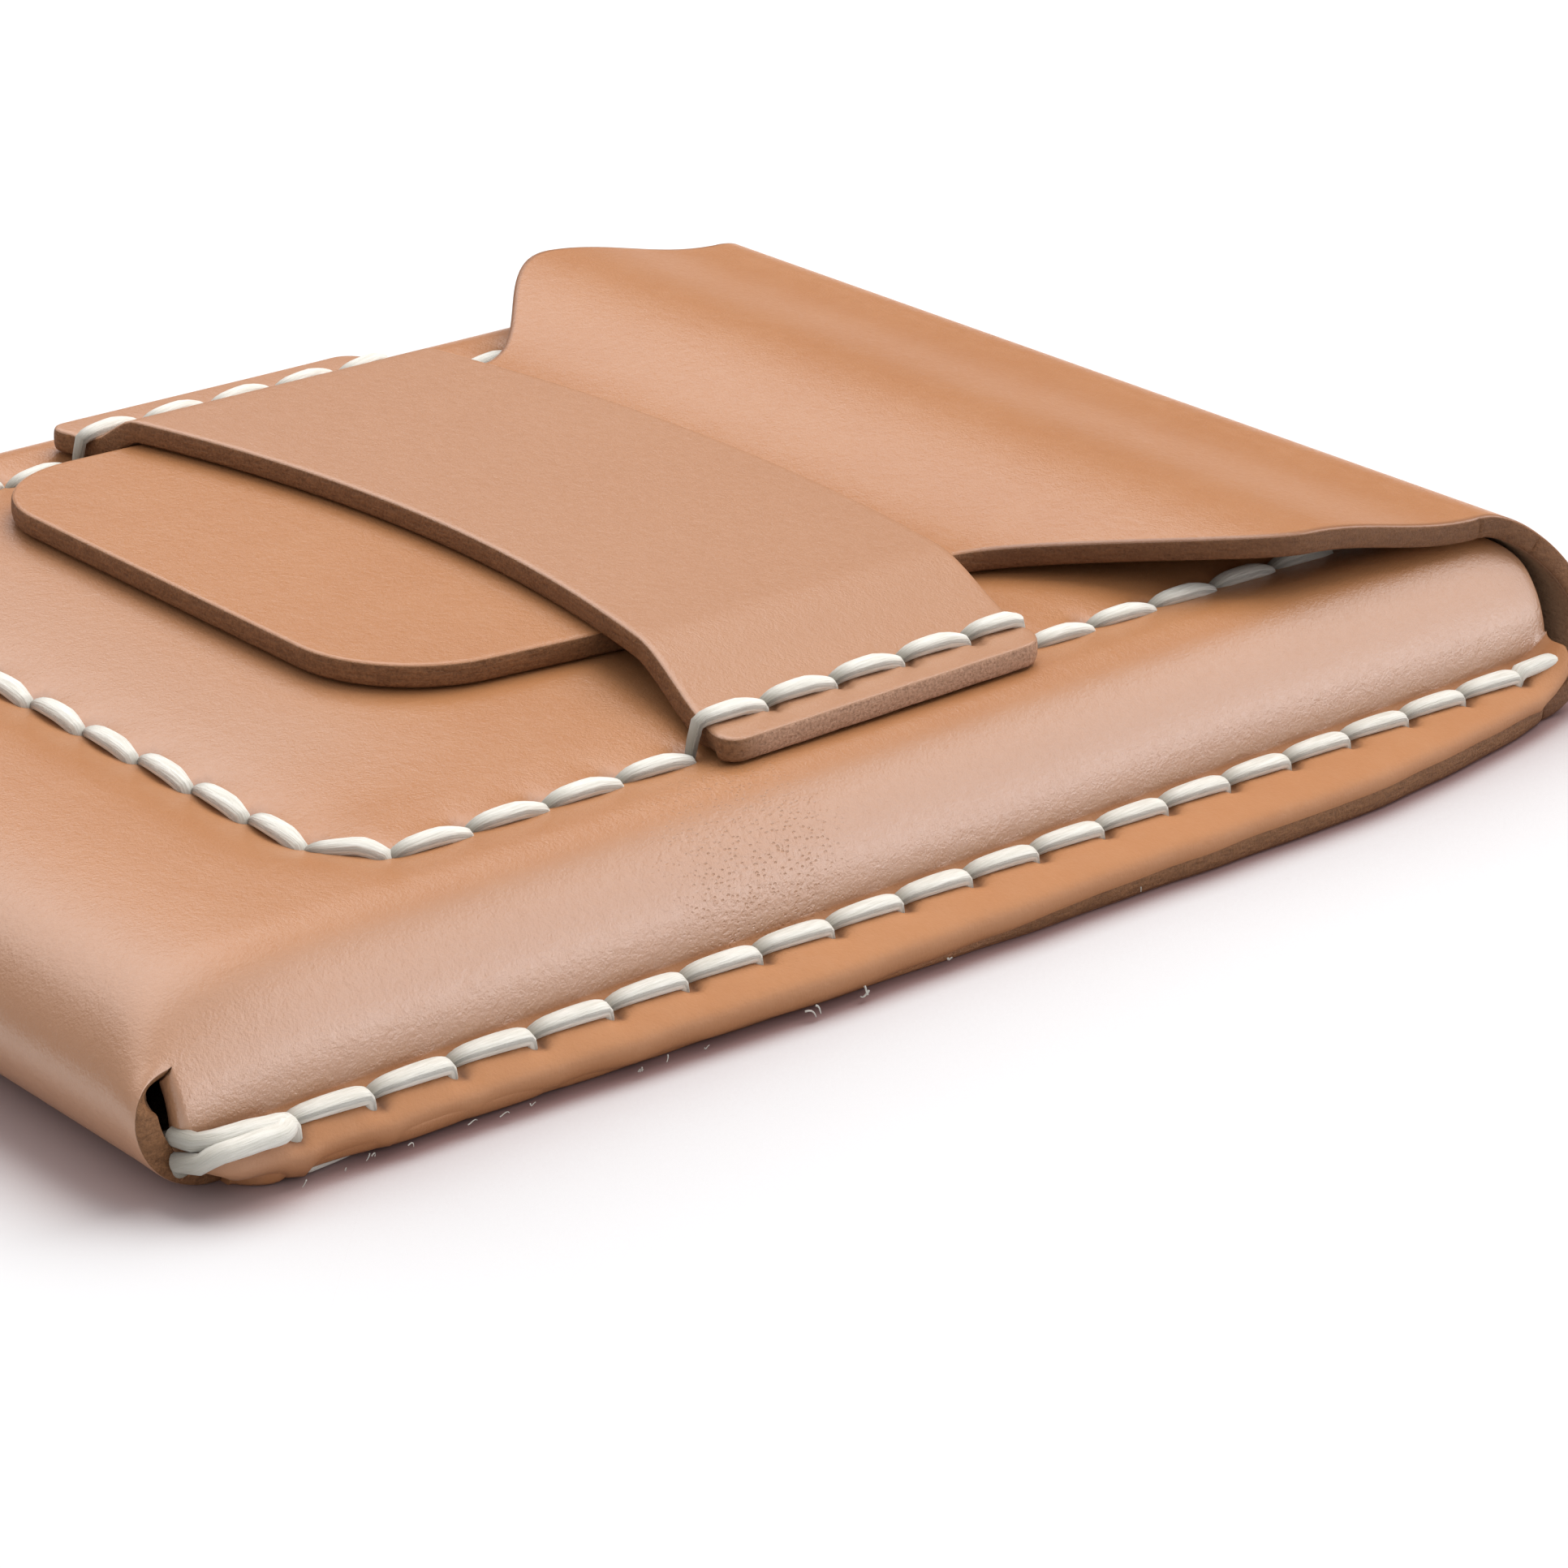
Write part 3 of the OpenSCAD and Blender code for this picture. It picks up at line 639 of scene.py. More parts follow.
def backSheet():  # flat on the ground, up to where the top fold starts
    e, r = back["edge"], back["cornerR"]
    xs = np.concatenate([spread(body["bottomX"], -44.5, 0.3), spread(-44.5, body["topX"], 0.7)[1:]])
    v = finerAtEnds(0.86, 16, 40)
    p = np.zeros((len(xs), len(v), 3))
    for i, x in enumerate(xs):
        t = (x - body["bottomX"]) / r
        corner = r * (1 - math.sqrt(max(0, 1 - max(0, 1 - t) ** 2)))
        half = float(edgeHalf(x)) - e - np.interp(x, *back["inset"]) - corner
        p[i, :, 0] = x
        p[i, :, 1] = -v * max(half, body["footY"] - 0.05)
    x, y = p[..., 0].copy(), p[..., 1].copy()
    holes = [(hx, s * body["sideY"]) for s in (-1, 1) for hx in sideHoles]
    lines = [((body["firstX"], s * body["sideY"]), (body["lastX"], s * body["sideY"])) for s in (-1, 1)]
    pull, holeShade = stitchMarks(x, y, holes, lines, depth=0.48, groove=back["groove"], width=0.62, shift=(0, 0))
    p[..., 2] += pull + 0.03 * (1 + ripple(x, y, 2.0)) * smooth((46 - abs(x)) / 6)
    return leatherSheet("hideBack", p, (e, 0.0, e, 0.0), {"dent": holeShade, "matt": abs(y) > 39.0},
                        raw=(0.9, 0, 0.9, 0), rim={"raw": np.interp(x, *back["bare"])})


hideBack = backSheet()
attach(hideBack, "shell")
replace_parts(hideBack, "back_panel")
print("back made")

flap = {
    "w": 69.6,
    "tongue": 44.0,
    "tip": 40.0,
    "tipX": tongueBox[0][0],
    "tipR": 7.0,
    "neckX": 17.4,
    "neckL": 15.5,
    "lean": math.tan(math.radians(5.1)),
    "arch": 2.0,
    "tongueZ": 9.85,
    "topZ": 9.9,
    "edge": 0.3,  # how far its cut edge rounds out
    # painted shade on the cut edges of the flap and the top fold
    "edgeShade": 0.5,
}


def rootHalf(z):
    root = float(edgeHalf(body["topX"])) - 0.35
    return root - (root - flap["w"] / 2) * (z / (2 * body["topR"])) ** 2


def foldStrip(name, a0, a1):
    e = flap["edge"]
    turns = np.radians(np.linspace(a0, a1, 23))
    v = finerAtEnds(0.97, 5, 46)
    p = np.zeros((len(turns), len(v), 3))
    for i, a in enumerate(turns):
        z = body["topR"] * (1 + math.sin(a))
        p[i, :, 0] = body["topX"] + body["topR"] * math.cos(a)
        p[i, :, 1] = -(rootHalf(z) - e) * v
        p[i, :, 2] = z
    # painted shade along the strip's side cut edges
    edgeShade = np.tile(flap["edgeShade"] * (abs(v) > 0.999), (len(turns), 1))
    return leatherSheet(name, p, (e, 0.0, e, 0.0), {"dent": edgeShade}, raw=(1, 0, 1, 0))


# the top fold is four strips, each a quarter of its half-round turn
chain = [("foldStripA", "shell", "fold_low", -90, -45, "top_fold_low"),
         ("foldStripB", "fold_low", "fold_mid", -45, 0, "top_fold_mid"),
         ("foldStripC", "fold_mid", "fold_high", 0, 45, "top_fold_high"),
         ("foldStripD", "fold_high", "flap", 45, 90, None)]
for name, a, b, a0, a1, solid in chain:
    strip = foldStrip(name, a0, a1)
    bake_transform(strip)
    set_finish(strip, "hide")
    if solid:
        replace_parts(strip, solid)
print("top fold made")


def flapHalf(x):
    t = np.clip((flap["neckX"] + flap["neckL"] - x) / flap["neckL"], 0, 1)
    u = np.clip((flap["neckX"] - x) / (flap["neckX"] - flap["tipX"]), 0, 1)
    neck = flap["w"] / 2 - (flap["w"] - flap["tongue"]) / 2 * smooth(t)
    return neck - (flap["tongue"] - flap["tip"]) / 2 * u


def flapTop(x):
    t = np.clip((body["topX"] - x) / (body["topX"] - flap["neckX"]), 0, 1)
    slope = flap["tongueZ"] + (flap["topZ"] - flap["tongueZ"]) * (1 - t)
    return slope + flap["arch"] * np.sin(math.pi * t) ** 2 + hideT


def flapSheet():
    e, tip, r = flap["edge"], flap["tipX"], flap["tipR"] - flap["edge"]
    roundEnd = tip + e + r * (1 - np.cos(np.radians(np.linspace(0, 90, 16))))
    xs = np.concatenate([roundEnd, spread(tip + flap["tipR"], flap["neckX"], 0.8)[1:],
                         spread(flap["neckX"], body["topX"], 0.55)[1:]])[::-1]
    rim = np.array([0, 0.01, 0.022, 0.036, 0.055])
    v = roundedSet(-1 + rim, np.linspace(-0.93, 0.93, 74), 1 - rim)
    p = np.zeros((len(xs), len(v), 3))
    for i, x in enumerate(xs):
        half, inset = float(flapHalf(x)) - e, 0.0
        if x < tip + flap["tipR"]:
            inset = r - math.sqrt(max(r * r - (tip + flap["tipR"] - x) ** 2, 0))
        if x > body["topX"] - 0.01:  # meets the top fold
            half = rootHalf(2 * body["topR"]) - e
        p[i, :, 0] = x
        p[i, :, 1] = flap["lean"] * (body["topX"] - x) - v * (half - inset)
        p[i, :, 2] = float(flapTop(x))
    uneven = smooth((body["topX"] - p[..., 0]) / 8) * smooth((p[..., 0] - flap["neckX"]) / 5)
    p[..., 2] += 0.05 * ripple(p[..., 0], p[..., 1], 1.0) * uneven
    # painted shade along the flap's side cut edges past the neck
    edgeShade = flap["edgeShade"] * (abs(v) > 0.999)[None, :] * smooth((xs - flap["neckX"]) / 3)[:, None]
    return leatherSheet("flapAndTongue", p, (e, e, e, 0.0), {"dent": edgeShade}, raw=(1, 1, 1, 0))


flapPiece = flapSheet()
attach(flapPiece, "flap")
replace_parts(flapPiece, "flap", "tongue")
print("flap made")

strap = {
    "x": -10.7,
    "w": 23.7,
    "bow": 6.0,
    "backBow": 4.4,
    "y": strapBox[1][1],
    "lift": 1.7,
    "r": 1.5,
    "edge": 0.28,
    "uneven": 0.06,
}


def strapEnds(y):  # its two long edges, both bowed
    q = 1 - (y / strap["y"]) ** 2
    return strap["x"] + strap["bow"] * q, strap["x"] + strap["w"] + strap["backBow"] * q


def strapUnder(y):
    lean = flap["lean"] * (body["topX"] - flap["neckX"])
    near = flap["tongue"] / 2 - lean + 1
    far = max(flap["tip"] / 2 + flap["lean"] * (body["topX"] - strap["x"]), flap["tongue"] / 2 + lean)
    edge = pocket["y"] - body["thread"] / 2
    t = np.where(y < 0, (edge + y) / (edge - near), (edge - y) / (edge - far - 0.15))
    return body["height"] + strap["lift"] * smooth(t)


def strapSheet():
    e, r = strap["edge"], strap["r"] - strap["edge"]
    end = r * (1 - np.cos(np.radians(np.linspace(0, 90, 8))))
    middle = spread(-strap["y"] + strap["r"], strap["y"] - strap["r"], 0.55)[1:-1]
    ys = np.concatenate([-strap["y"] + e + end, middle, strap["y"] - e - end[::-1]])
    a = roundedSet([0, 0.012, 0.028, 0.05], np.linspace(0.075, 0.925, 42), [0.95, 0.972, 0.988, 1])
    p = np.zeros((len(a), len(ys), 3))
    for j, y in enumerate(ys):
        over = max(abs(y) - (strap["y"] - strap["r"]), 0)
        inset = r - math.sqrt(max(r ** 2 - over ** 2, 0))
        x0, x1 = strapEnds(y)
        p[:, j, 0] = x0 + e + inset + (x1 - x0 - 2 * (e + inset)) * a
        p[:, j, 1] = y
        p[:, j, 2] = float(strapUnder(y)) + hideT
    x, y = p[..., 0].copy(), p[..., 1].copy()
    endX = strap["x"] + strap["w"] + 1
    sewn = [(hx, s * pocket["y"]) for s in (-1, 1) for hx in pocketHoles if strap["x"] < hx < endX]
    lines = [((strap["x"], s * pocket["y"]), (endX, s * pocket["y"])) for s in (-1, 1)]
    pull, holeShade = stitchMarks(x, y, sewn, lines)
    p[..., 2] += -pull * 0.8 + strap["uneven"] * ripple(x, y, 3.0)
    pale = smooth((abs(y) - 29.5) / 2.0) * smooth((x - strap["x"] - 0.6) / 3)
    # the whole strap gets the painted sheen
    attrs = {"paintedSheen": np.ones_like(pale), "dent": holeShade, "pale": pale}
    return leatherSheet("strapOver", p, (e, e, e, e), attrs)


strapPiece = strapSheet()
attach(strapPiece, "shell")
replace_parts(strapPiece, "strap")
print("strap made")

inner = {
    "lap": 2.1,  # leather outside the seam
    "room": 0.75,  # for cards
    "edge": 0.2,
}


def innerSheet():  # behind the front, seen only through the mouth
    lap, e = inner["lap"], inner["edge"]
    xs = spread(pocket["x"] - lap, body["mouthX"] - 0.3, 1.6)
    v = np.linspace(-1, 1, 44)
    p = np.zeros((len(xs), len(v), 3))
    for i, x in enumerate(xs):
        t = np.clip((x - xs[0]) / (pocket["cornerX"] - pocket["x"] + lap), 0, 1)
        half = pocket["bottomY"] + 1 + (pocket["y"] + lap - pocket["bottomY"] - 1) * t
        inside = smooth((pocket["y"] - 1.2 - abs(v * half)) / 2.0) * smooth((x - pocket["x"] - 1.2) / 2.0)
        p[i, :, 0] = x
        p[i, :, 1] = v * half
        p[i, :, 2] = body["height"] - hideT - 0.06 - inner["room"] * inside
    return leatherSheet("innerPanel", p, (e, e, e, e), {})


innerPiece = innerSheet()
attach(innerPiece, "shell")
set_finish(innerPiece, "lining")
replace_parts(innerPiece, "inner_pocket")
print("inner panel made")

# a stitch from its first hole to its second: each pair is places along it and values there
stitchForm = {
    "wide": 1.28,
    "high": 0.84,
    "at": [0.0, 0.02, 0.045, 0.08, 0.13, 0.2, 0.3, 0.42, 0.55, 0.68, 0.79, 0.87, 0.92, 0.955, 0.975, 0.99, 1],
    "rise": ([0, 0.03, 0.08, 0.16, 0.3, 0.5, 0.72, 0.90, 0.955, 0.98, 1],
             [-0.95, -0.45, -0.05, 0.16, 0.27, 0.33, 0.34, 0.30, 0.22, -0.05, -0.75]),
    "width": ([0, 0.05, 0.14, 0.3, 0.5, 0.8, 0.95, 1], [0.42, 0.52, 0.72, 0.92, 1.0, 1.04, 1.0, 0.9]),
    "height": ([0, 0.05, 0.2, 0.45, 0.8, 0.96, 1], [0.6, 0.7, 0.9, 1.0, 1.03, 1.0, 0.9]),
    "shade": ([0, 0.04, 0.10, 0.22, 0.34, 0.92, 0.98, 1], [1, 1, 0.8, 0.32, 0.05, 0, 0.25, 0.8]),
    "slant": 0.16,
    "cornerSlant": 0.12,
    "pocketTaper": 0.27,  # how far a pocket stitch thins toward its end
    "sideSink": 0.05,
    "pocketSink": 0.60,
    "bottomSink": 1.02,
    "strapSink": 0.10,
}


class Strands:
    def __init__(self):
        self.verts, self.faces, self.uv, self.dent = [], [], [], []

    def tube(self, pts, wide, high, side, seed, shade, lean=1.0):  # side is the way its width lies
        k, square = 14, 0.85
        pts, side = np.asarray(pts, float), np.asarray(side, float)
        tan = np.gradient(pts, axis=0) * (1, 1, lean)
        tan /= np.maximum(np.linalg.norm(tan, axis=1, keepdims=True), 1e-9)
        length = np.concatenate([[0], np.cumsum(np.linalg.norm(np.diff(pts, axis=0), axis=1))])
        base = len(self.verts)
        for i, point in enumerate(pts):
            s = side - tan[i] * np.dot(side, tan[i])
            s /= np.linalg.norm(s)
            u = np.cross(tan[i], s)
            for m in range(k):
                c, d = math.cos(2 * math.pi * m / k), math.sin(2 * math.pi * m / k)
                c, d = math.copysign(abs(c) ** square, c), math.copysign(abs(d) ** square, d)
                self.verts.append(point + s * c * wide[i] / 2 + u * d * high[i] / 2)
                self.uv.append((length[i] + seed * 7.3, m / k + seed * 0.37 + length[i] * 0.02))
                self.dent.append(shade[i])
        for i in range(len(pts) - 1):
            for m in range(k):
                a, b = base + i * k + m, base + i * k + (m + 1) % k
                self.faces.append([a, b, b + k, a + k])
        self.faces.append([base + m for m in range(k)][::-1])
        self.faces.append([base + (len(pts) - 1) * k + m for m in range(k)])

    # from hole a to hole b, over leather at heights za and zb, which steps at edge, 0 to 1
    def stitch(self, a, b, za, zb, slant, seed, edge=None, taper=0.0):
        a, b = np.array(a, float), np.array(b, float)
        d = (b - a) / np.linalg.norm(b - a)
        out = np.array([d[1], -d[0]])
        rnd = random.Random(seed)
        slant = slant * rnd.uniform(0.8, 1.25)
        p0 = a - out * slant * 2.4 - d * 0.42
        p1 = b + out * slant * 0.5 - d * 0.34
        s = np.array(stitchForm["at"])
        w = np.interp(s, *stitchForm["width"]) * stitchForm["wide"] * rnd.uniform(0.96, 1.04)
        w = w * (1 - taper * smooth((s - 0.62) / 0.38))
        h = np.interp(s, *stitchForm["height"]) * stitchForm["high"]
        rise = np.interp(s, *stitchForm["rise"])
        rise = rise - taper * 0.9 * smooth((s - 0.66) / 0.34) + taper * 0.25 * np.sin(math.pi * s)
        start, run = 0.2, 0.6
        if edge is not None:
            start, run = edge - (0.10 if zb >= za else 0.02), 0.14
        lie = za + (zb - za) * smooth((s - start) / run)
        bow = (rnd.uniform(-0.04, 0.04) + 0.07) * np.sin(math.pi * s)
        xy = p0[None, :] + (p1 - p0)[None, :] * s[:, None] + out[None, :] * bow[:, None]
        shade = np.interp(s, *stitchForm["shade"])
        self.tube(np.column_stack([xy, lie + rise]), w, h, (out[0], out[1], 0), seed % 97, shade, 0.4)

    def build(self, name):
        ob = makeMesh(name, self.verts, self.faces, thread, {"dent": self.dent}, 75)
        uvs = ob.data.uv_layers.new(name="strand")
        loops = np.zeros(len(ob.data.loops), np.int32)
        ob.data.loops.foreach_get("vertex_index", loops)
        uvs.data.foreach_set("uv", np.asarray(self.uv, np.float32)[loops].reshape(-1))
        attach(ob, "shell")
        return ob


# the side seam's other stitches: on the back, doubled at the slot, and over the mouth's edge
sideForm = {
    "backRise": ([0, 0.06, 0.14, 0.5, 0.86, 0.94, 1], [1.4, 0.60, 0.31, 0.27, 0.31, 0.60, 1.4]),
    "backShade": ([0, 0.1, 0.9, 1], [0.9, 0.1, 0.1, 0.9]),
    "firstY": ([0, 0.3, 0.6, 0.8, 0.93], [39.5, 39.45, 39.2, 38.95, 38.4]),
    "firstWidth": ([0, 0.15, 0.6, 1], [0.8, 1.25, 1.25, 1.0]),
    "firstShade": ([0, 0.06, 0.15, 0.7, 0.85, 1], [0.8, 0.25, 0, 0.1, 0.5, 1]),
    "lastRise": ([0, 0.05, 0.14, 0.6, 0.82, 1], [1.8, 2.6, 3.1, 3.15, 2.7, 1.7]),
    "lastWidth": ([0, 0.15, 1], [0.8, 1.1, 0.95]),
    "lastShade": ([0, 0.06, 0.15, 0.8, 1], [0.8, 0.25, 0, 0.1, 0.8]),
}


def backStitch(s, x, side, seed):  # flush in its groove
    t = np.linspace(0, 1, 12)
    y = side * body["sideY"] + side * (0.18 - 0.36 * t)
    pts = np.column_stack([x + body["pitch"] * t, y, np.interp(t, *sideForm["backRise"])])
    s.tube(pts, np.full(12, 0.85), np.full(12, 0.50), (0, 1, 0), seed, np.interp(t, *sideForm["backShade"]))


def firstStitch(s, side):  # turns over the flange's end into the slot
    t, firstX, turnX = np.linspace(0, 1, 18), body["firstX"], front["flangeEnd"] - 0.55
    onTop = t < 0.94
    for k, (dy, dz, endY, endZ) in enumerate(((0.0, 0.0, 37.3, 3.3), (0.85, -0.30, 38.1, 1.7))):
        x = np.interp(t, [0, 0.06, 0.5, 0.8, 0.93, 1],
                      [firstX + 0.15, firstX, -46.9, -48.9 - 0.35 * k, turnX - 0.3 * k, turnX])
        y = np.where(onTop, np.interp(t, *sideForm["firstY"]) + dy * smooth((t - 0.03) / 0.3), endY)
        z = np.interp(t, [0, 0.04, 0.12, 0.5, 0.8, 0.93, 1],
                      [1.7, 2.6, 3.15, 3.3 + dz * 0.6, 3.25 + dz, 0.5 * (3.2 + dz + endZ), endZ])
        s.tube(np.column_stack([x, side * y, z]), np.interp(t, *sideForm["firstWidth"]), np.full(18, 0.95),
               (0.2, 1, 0), 33 + k, np.interp(t, *sideForm["firstShade"]))


def lastStitch(s, side):  # over the edge of the mouth
    t, lastX = np.linspace(0, 1, 14), body["lastX"]
    x = np.interp(t, [0, 0.1, 0.6, 0.85, 1], [lastX - 0.2, lastX, 48.2, 49.5, 49.55])
    pts = np.column_stack([x, np.full(14, side * body["sideY"]), np.interp(t, *sideForm["lastRise"])])
    s.tube(pts, np.interp(t, *sideForm["lastWidth"]), np.full(14, 0.9), (0, 1, 0), 41,
           np.interp(t, *sideForm["lastShade"]))


def sideThread(side, name, solid):
    s = Strands()
    y, z = side * body["sideY"], body["flangeZ"] - stitchForm["sideSink"]
    slant = stitchForm["slant"] * -side
    for i in range(body["sideStitches"]):
        s.stitch((sideHoles[i], y), (sideHoles[i + 1], y), z, z, slant, i + 50 * (side + 1))
        backStitch(s, sideHoles[i], side, i)
    firstStitch(s, side)
    lastStitch(s, side)
    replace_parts(s.build(name), solid)


def pocketLie(x):  # the stitches that hold the strap lie on it
    near, far = strapEnds(pocket["y"])
    if near < x < far:
        return body["height"] + hideT - stitchForm["strapSink"]
    return body["height"] - stitchForm["pocketSink"]


def pocketThread():
    s, slant, taper = Strands(), stitchForm["slant"], stitchForm["pocketTaper"]
    cornerSlant, low = stitchForm["cornerSlant"], body["height"] - stitchForm["bottomSink"]
    for side in (-1, 1):
        y = side * pocket["y"]
        bottom, corner = (pocket["x"], side * pocket["bottomY"]), (pocket["cornerX"], y)
        for i in range(pocket["sideStitches"]):
            xa, xb = pocketHoles[i], pocketHoles[i + 1]
            edge = [(e - xa) / body["pitch"] for e in strapEnds(y) if xa < e < xb]
            s.stitch((xa, y), (xb, y), pocketLie(xa), pocketLie(xb), slant * -side, 200 + i + 40 * side,
                     edge[0] if edge else None, taper)
        s.stitch(bottom, corner, low, pocketLie(corner[0]), cornerSlant * -side, 300 + side, taper=taper)
    for i in range(pocket["bottomStitches"]):
        a, b = (pocket["x"], bottomHoles[i + 1]), (pocket["x"], bottomHoles[i])
        s.stitch(a, b, low, low, slant, 400 + i, taper=taper)
    count = pocket["sideStitches"]
    t, ones = np.linspace(0, 1, 4 * count), np.ones(4 * count)
    for side in (-1, 1):  # inside, along the inner panel
        x, z = pocketHoles[0] + count * body["pitch"] * t, 6.45 + 0.10 * np.cos(2 * math.pi * count * t)
        pts = np.column_stack([x, ones * side * pocket["y"], z])
        s.tube(pts, ones * 0.8, ones * 0.8, (0, 1, 0), 5, ones * 0.1)
    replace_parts(s.build("pocketThread"), "pocket_seam")


sideThread(-1, "nearSideThread", "near_side_seam")
sideThread(1, "farSideThread", "far_side_seam")
pocketThread()
print("threads made")

fibre = {
    "spots": [(-14.2, 1.0), (-13.6, 0.8), (-10.3, 0.9), (-9.9, 0.7), (-4.2, 0.6)],  # place and length
    "short": 14,
    "thick": 0.07,
}


def edgeFibres():  # loose ones at the near edge
    rnd = random.Random(8)
    s, t = Strands(), np.linspace(0, 1, 6)
    short = [(rnd.uniform(-46, 10), rnd.uniform(0.2, 0.4)) for _ in range(fibre["short"])]
    for k, (x, size) in enumerate(fibre["spots"] + short):
        y, z, a = -float(edgeHalf(x)) + 0.12, rnd.uniform(0.45, 0.8), rnd.uniform(-1.3, 1.3)
        pts = np.column_stack([x + size * t * math.sin(a) + 0.1 * np.sin(3 * t + k),
                               y - size * t * math.cos(a) * 0.6 * (1 - 0.4 * t),
                               z - 0.25 * size * t + 0.12 * np.sin(4 * t + k)])
        w = fibre["thick"] * (1 - 0.5 * t) * (1.7 if k < len(fibre["spots"]) else 1.0)
        s.tube(pts, w, w, (0, 0.3, 1), k, np.zeros(6))
    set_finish(s.build("edgeFibres"), "hide")


edgeFibres()
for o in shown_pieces():
    if o.name.endswith("Thread"):
        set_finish(o, "thread")
    elif "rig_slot" not in o:
        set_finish(o, "hide")
print("fibres and slots made")

room = {
    "floorHalf": 3.0,
    "floorDown": 0.00002,
    "floor": (0.70, 0.715, 0.725),
    "shade": (0.30, 0.20, 0.195),  # of the floor close to the leather
    "shadeBottom": (0.62, 0.53, 0.52),  # the same, beyond the bottom fold
    "shadeReach": 0.028,
    "window": 2.3,  # what the leather mirrors
    "roof": 1.75,
    "skyDark": (0.70, 0.69, 0.70),  # what lights it softly
    "skyBright": (0.84, 0.82, 0.83),
    "lampAt": (0.37, 0.13, 0.64),
    "lampSize": 0.7,
    "lampPower": 6.9,
    "lampColor": (1.0, 0.975, 0.955),
}


def makeFloor():
    bm = bmesh.new()
    bmesh.ops.create_grid(bm, x_segments=1, y_segments=1, size=room["floorHalf"])
    bmesh.ops.translate(bm, vec=(0, 0, -room["floorDown"]), verts=bm.verts)
    me = bpy.data.meshes.new("floor")
    bm.to_mesh(me)
    bm.free()
    floor = bpy.data.objects.new("floor", me)
    bpy.context.scene.collection.objects.link(floor)
    m, nt = newMaterial("paleFloor")
    # painted shadow: the floor darkens toward a tint where ambient occlusion finds the leather close, paler
    # beyond the bottom fold
    shade = node(nt, "ShaderNodeAmbientOcclusion", Distance=room["shadeReach"], samples=16)
    place = node(nt, "ShaderNodeSeparateXYZ")
    link(nt, node(nt, "ShaderNodeTexCoord").outputs["Object"], place.inputs[0])
    along = mapRange(nt, place.outputs[0], -0.060, -0.040, 0.0, 1.0)
    shadowTint = mixColor(nt, along, room["shadeBottom"], room["shade"])
    col = mixColor(nt, mapRange(nt, shade.outputs["AO"], 0.58, 0.98, 0.0, 1.0), shadowTint, room["floor"])
    b = node(nt, "ShaderNodeBsdfPrincipled", Roughness=0.9)
    b.inputs["Specular IOR Level"].default_value = 0.1
    link(nt, col, b.inputs["Base Color"])
    shaderOut(nt, b)
    me.materials.append(m)


def ease(nt, v, a, b):
    m = node(nt, "ShaderNodeMapRange", interpolation_type="SMOOTHSTEP")
    for k, value in enumerate((v, a, b)):
        put(nt, value, m.inputs[k])
    return m.outputs[0]


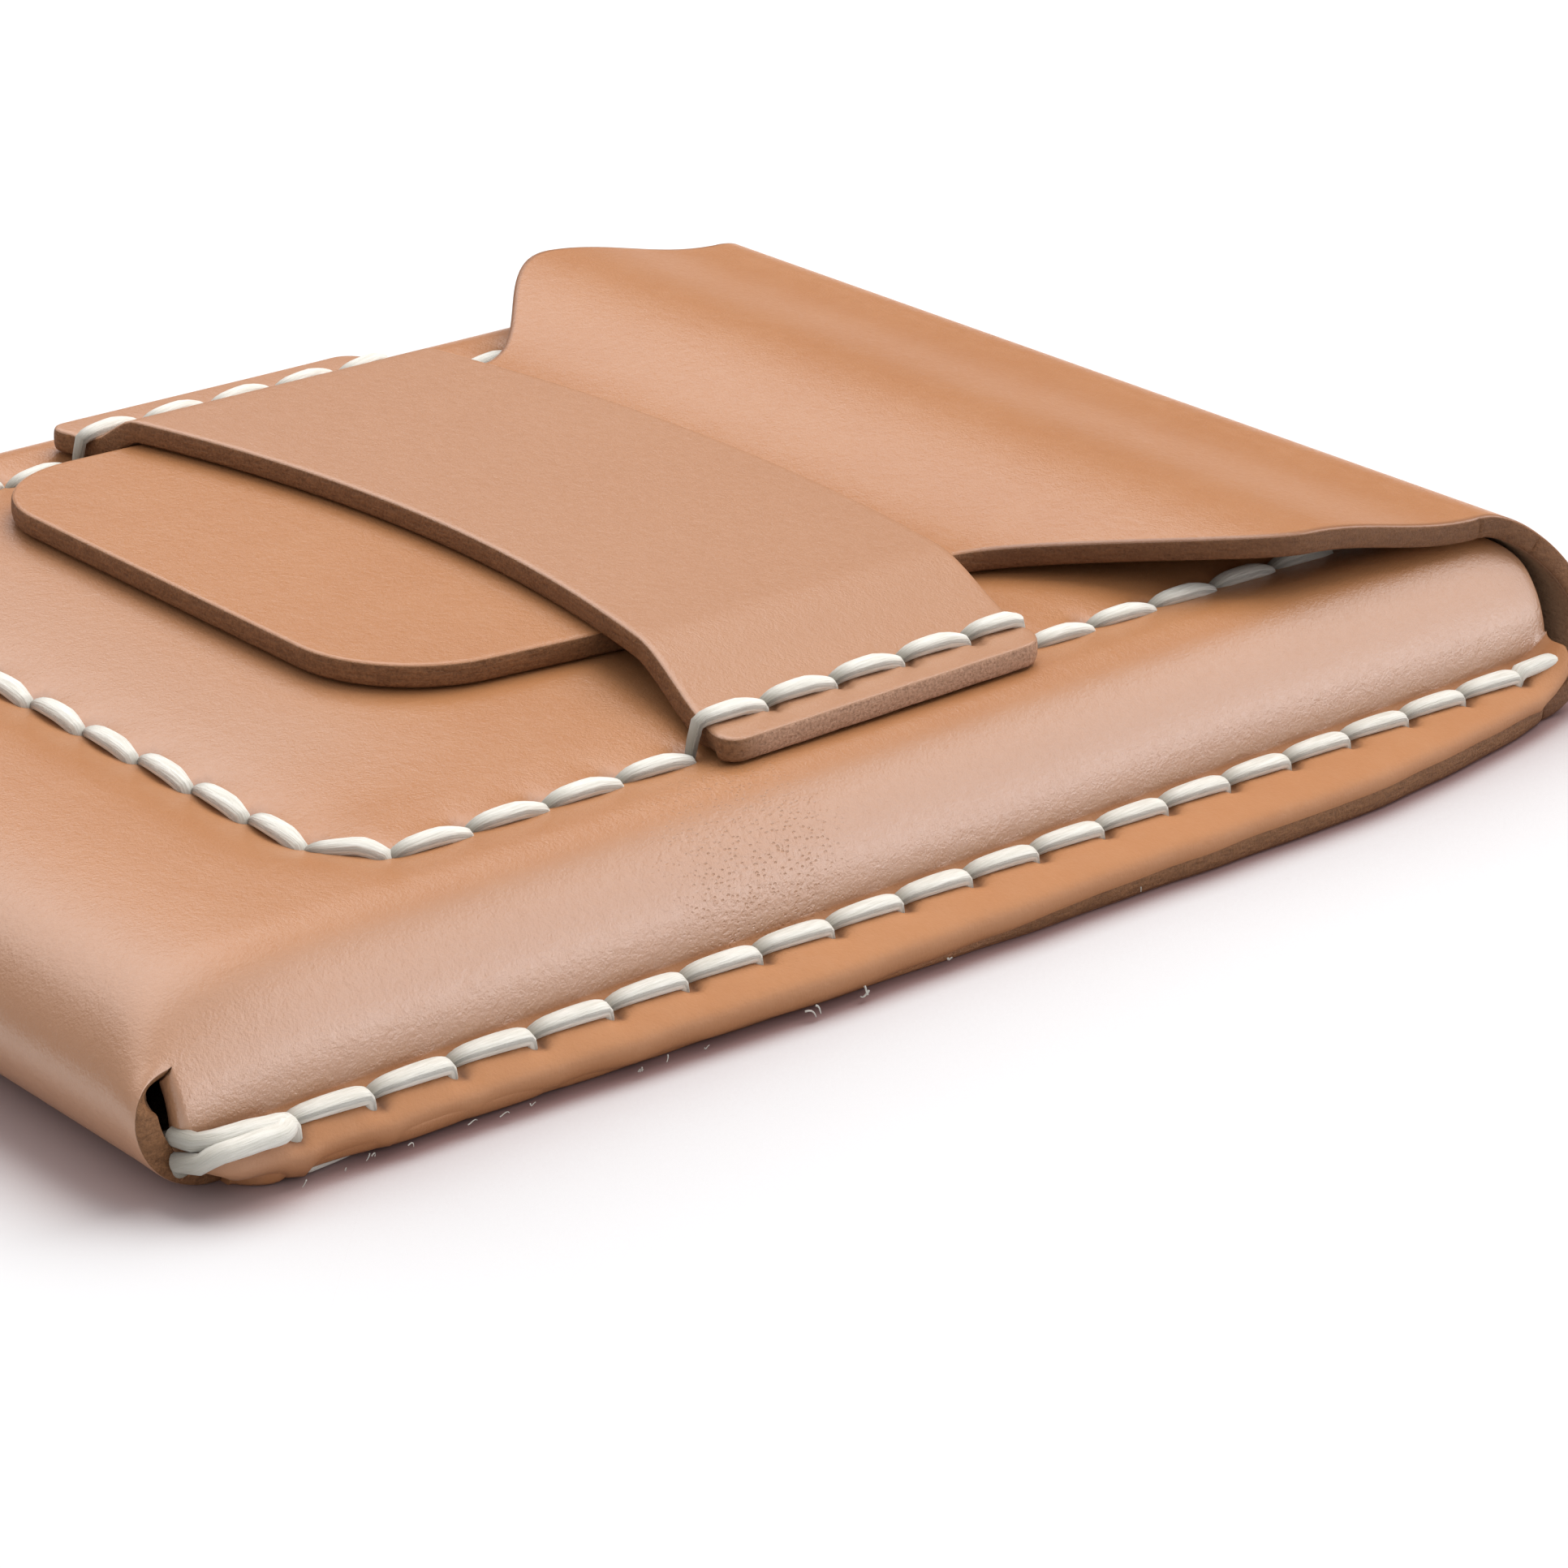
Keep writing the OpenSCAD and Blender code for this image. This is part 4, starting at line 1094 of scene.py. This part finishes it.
def makeSky():  # a window and a pale roof in the leather's gloss, plain soft light elsewhere
    world = bpy.data.worlds.new("studio")
    bpy.context.scene.world = world
    world.use_nodes = True
    world.cycles.sampling_method = "NONE"
    nt = world.node_tree
    nt.nodes.clear()
    path = nt.nodes.new("ShaderNodeLightPath")
    way = nt.nodes.new("ShaderNodeSeparateXYZ")
    link(nt, nt.nodes.new("ShaderNodeTexCoord").outputs["Generated"], way.inputs[0])
    x, y, z = way.outputs
    behind = add(nt, mul(nt, x, 0.588), mul(nt, y, 0.809))
    right = calc(nt, "SUBTRACT", mul(nt, x, 0.74), mul(nt, y, 0.673))
    sill = mul(nt, calc(nt, "MAXIMUM", calc(nt, "SUBTRACT", x, 0.46), 0.0), 2.2)
    low = add(nt, mul(nt, ease(nt, z, 0.05, 0.35), -1.0), 2.0)
    window = mul(nt, ease(nt, right, 0.40, 0.62), low)
    window = mul(nt, window, calc(nt, "SUBTRACT", ease(nt, x, 0.20, 0.40), ease(nt, x, 0.82, 0.96)))
    roof = mul(nt, ease(nt, calc(nt, "SUBTRACT", z, sill), 0.37, 0.47), ease(nt, behind, -0.30, 0.0))
    roof = mul(nt, roof, calc(nt, "SUBTRACT", ease(nt, x, -0.6, -0.2), ease(nt, right, 0.10, 0.40)), True)
    glow = add(nt, mul(nt, window, room["window"]), mul(nt, roof, room["roof"]))
    dim = add(nt, mul(nt, ease(nt, mul(nt, behind, -1.0), -0.1, 0.3), 0.40), 0.09)
    glow = add(nt, glow, dim)
    gloss = nt.nodes.new("ShaderNodeCombineColor")
    for k, (tint, warm) in enumerate(((0.98, 0.06), (0.99, 0.0), (1.02, 0.0))):
        link(nt, add(nt, mul(nt, glow, tint), warm), gloss.inputs[k])
    soft = mixColor(nt, ease(nt, x, -0.4, 0.6), room["skyDark"], room["skyBright"])
    col = mixColor(nt, path.outputs["Is Glossy Ray"], soft, gloss.outputs[0])
    col = mixColor(nt, path.outputs["Is Camera Ray"], col, (1.0, 1.0, 1.0))
    bg = nt.nodes.new("ShaderNodeBackground")
    link(nt, col, bg.inputs[0])
    shaderOut(nt, bg, "ShaderNodeOutputWorld")


def makeLamp():
    lamp = bpy.data.lights.new("softbox", "AREA")
    lamp.shape = "RECTANGLE"
    lamp.size, lamp.size_y = room["lampSize"], room["lampSize"]
    lamp.energy = room["lampPower"]
    lamp.color = room["lampColor"]
    ob = bpy.data.objects.new("softbox", lamp)
    bpy.context.scene.collection.objects.link(ob)
    ob.location = room["lampAt"]
    ob.rotation_euler = (-Vector(room["lampAt"])).to_track_quat("-Z", "Y").to_euler()
    ob.visible_glossy = False


cameraSet = {
    "at": (-0.1649, -0.2061, 0.1099),
    "turn": 0.7383052,
    "down": 0.4097516,
    "roll": 0.0225607,
    "sensor": 36,
    "lens": 110.62,
}


def makeCamera():
    turn, down, roll = cameraSet["turn"], cameraSet["down"], cameraSet["roll"]
    d = Vector((math.sin(turn) * math.cos(down), math.cos(turn) * math.cos(down), -math.sin(down)))
    right = Vector((math.cos(turn), -math.sin(turn), 0))
    up = right.cross(d)
    x = math.cos(roll) * right + math.sin(roll) * up
    y = -math.sin(roll) * right + math.cos(roll) * up
    cam = bpy.data.cameras.new("camera")
    cam.sensor_width = cameraSet["sensor"]
    cam.lens = cameraSet["lens"]
    cam.clip_start = 0.01
    cam.clip_end = 20
    cam.dof.use_dof = False
    ob = bpy.data.objects.new("camera", cam)
    bpy.context.scene.collection.objects.link(ob)
    ob.matrix_world = Matrix.Translation(cameraSet["at"]) @ Matrix((x, y, -d)).transposed().to_4x4()
    bpy.context.scene.camera = ob


makeFloor()
makeSky()
makeLamp()
makeCamera()
bpy.context.scene.view_settings.view_transform = "Standard"
print("stage made")
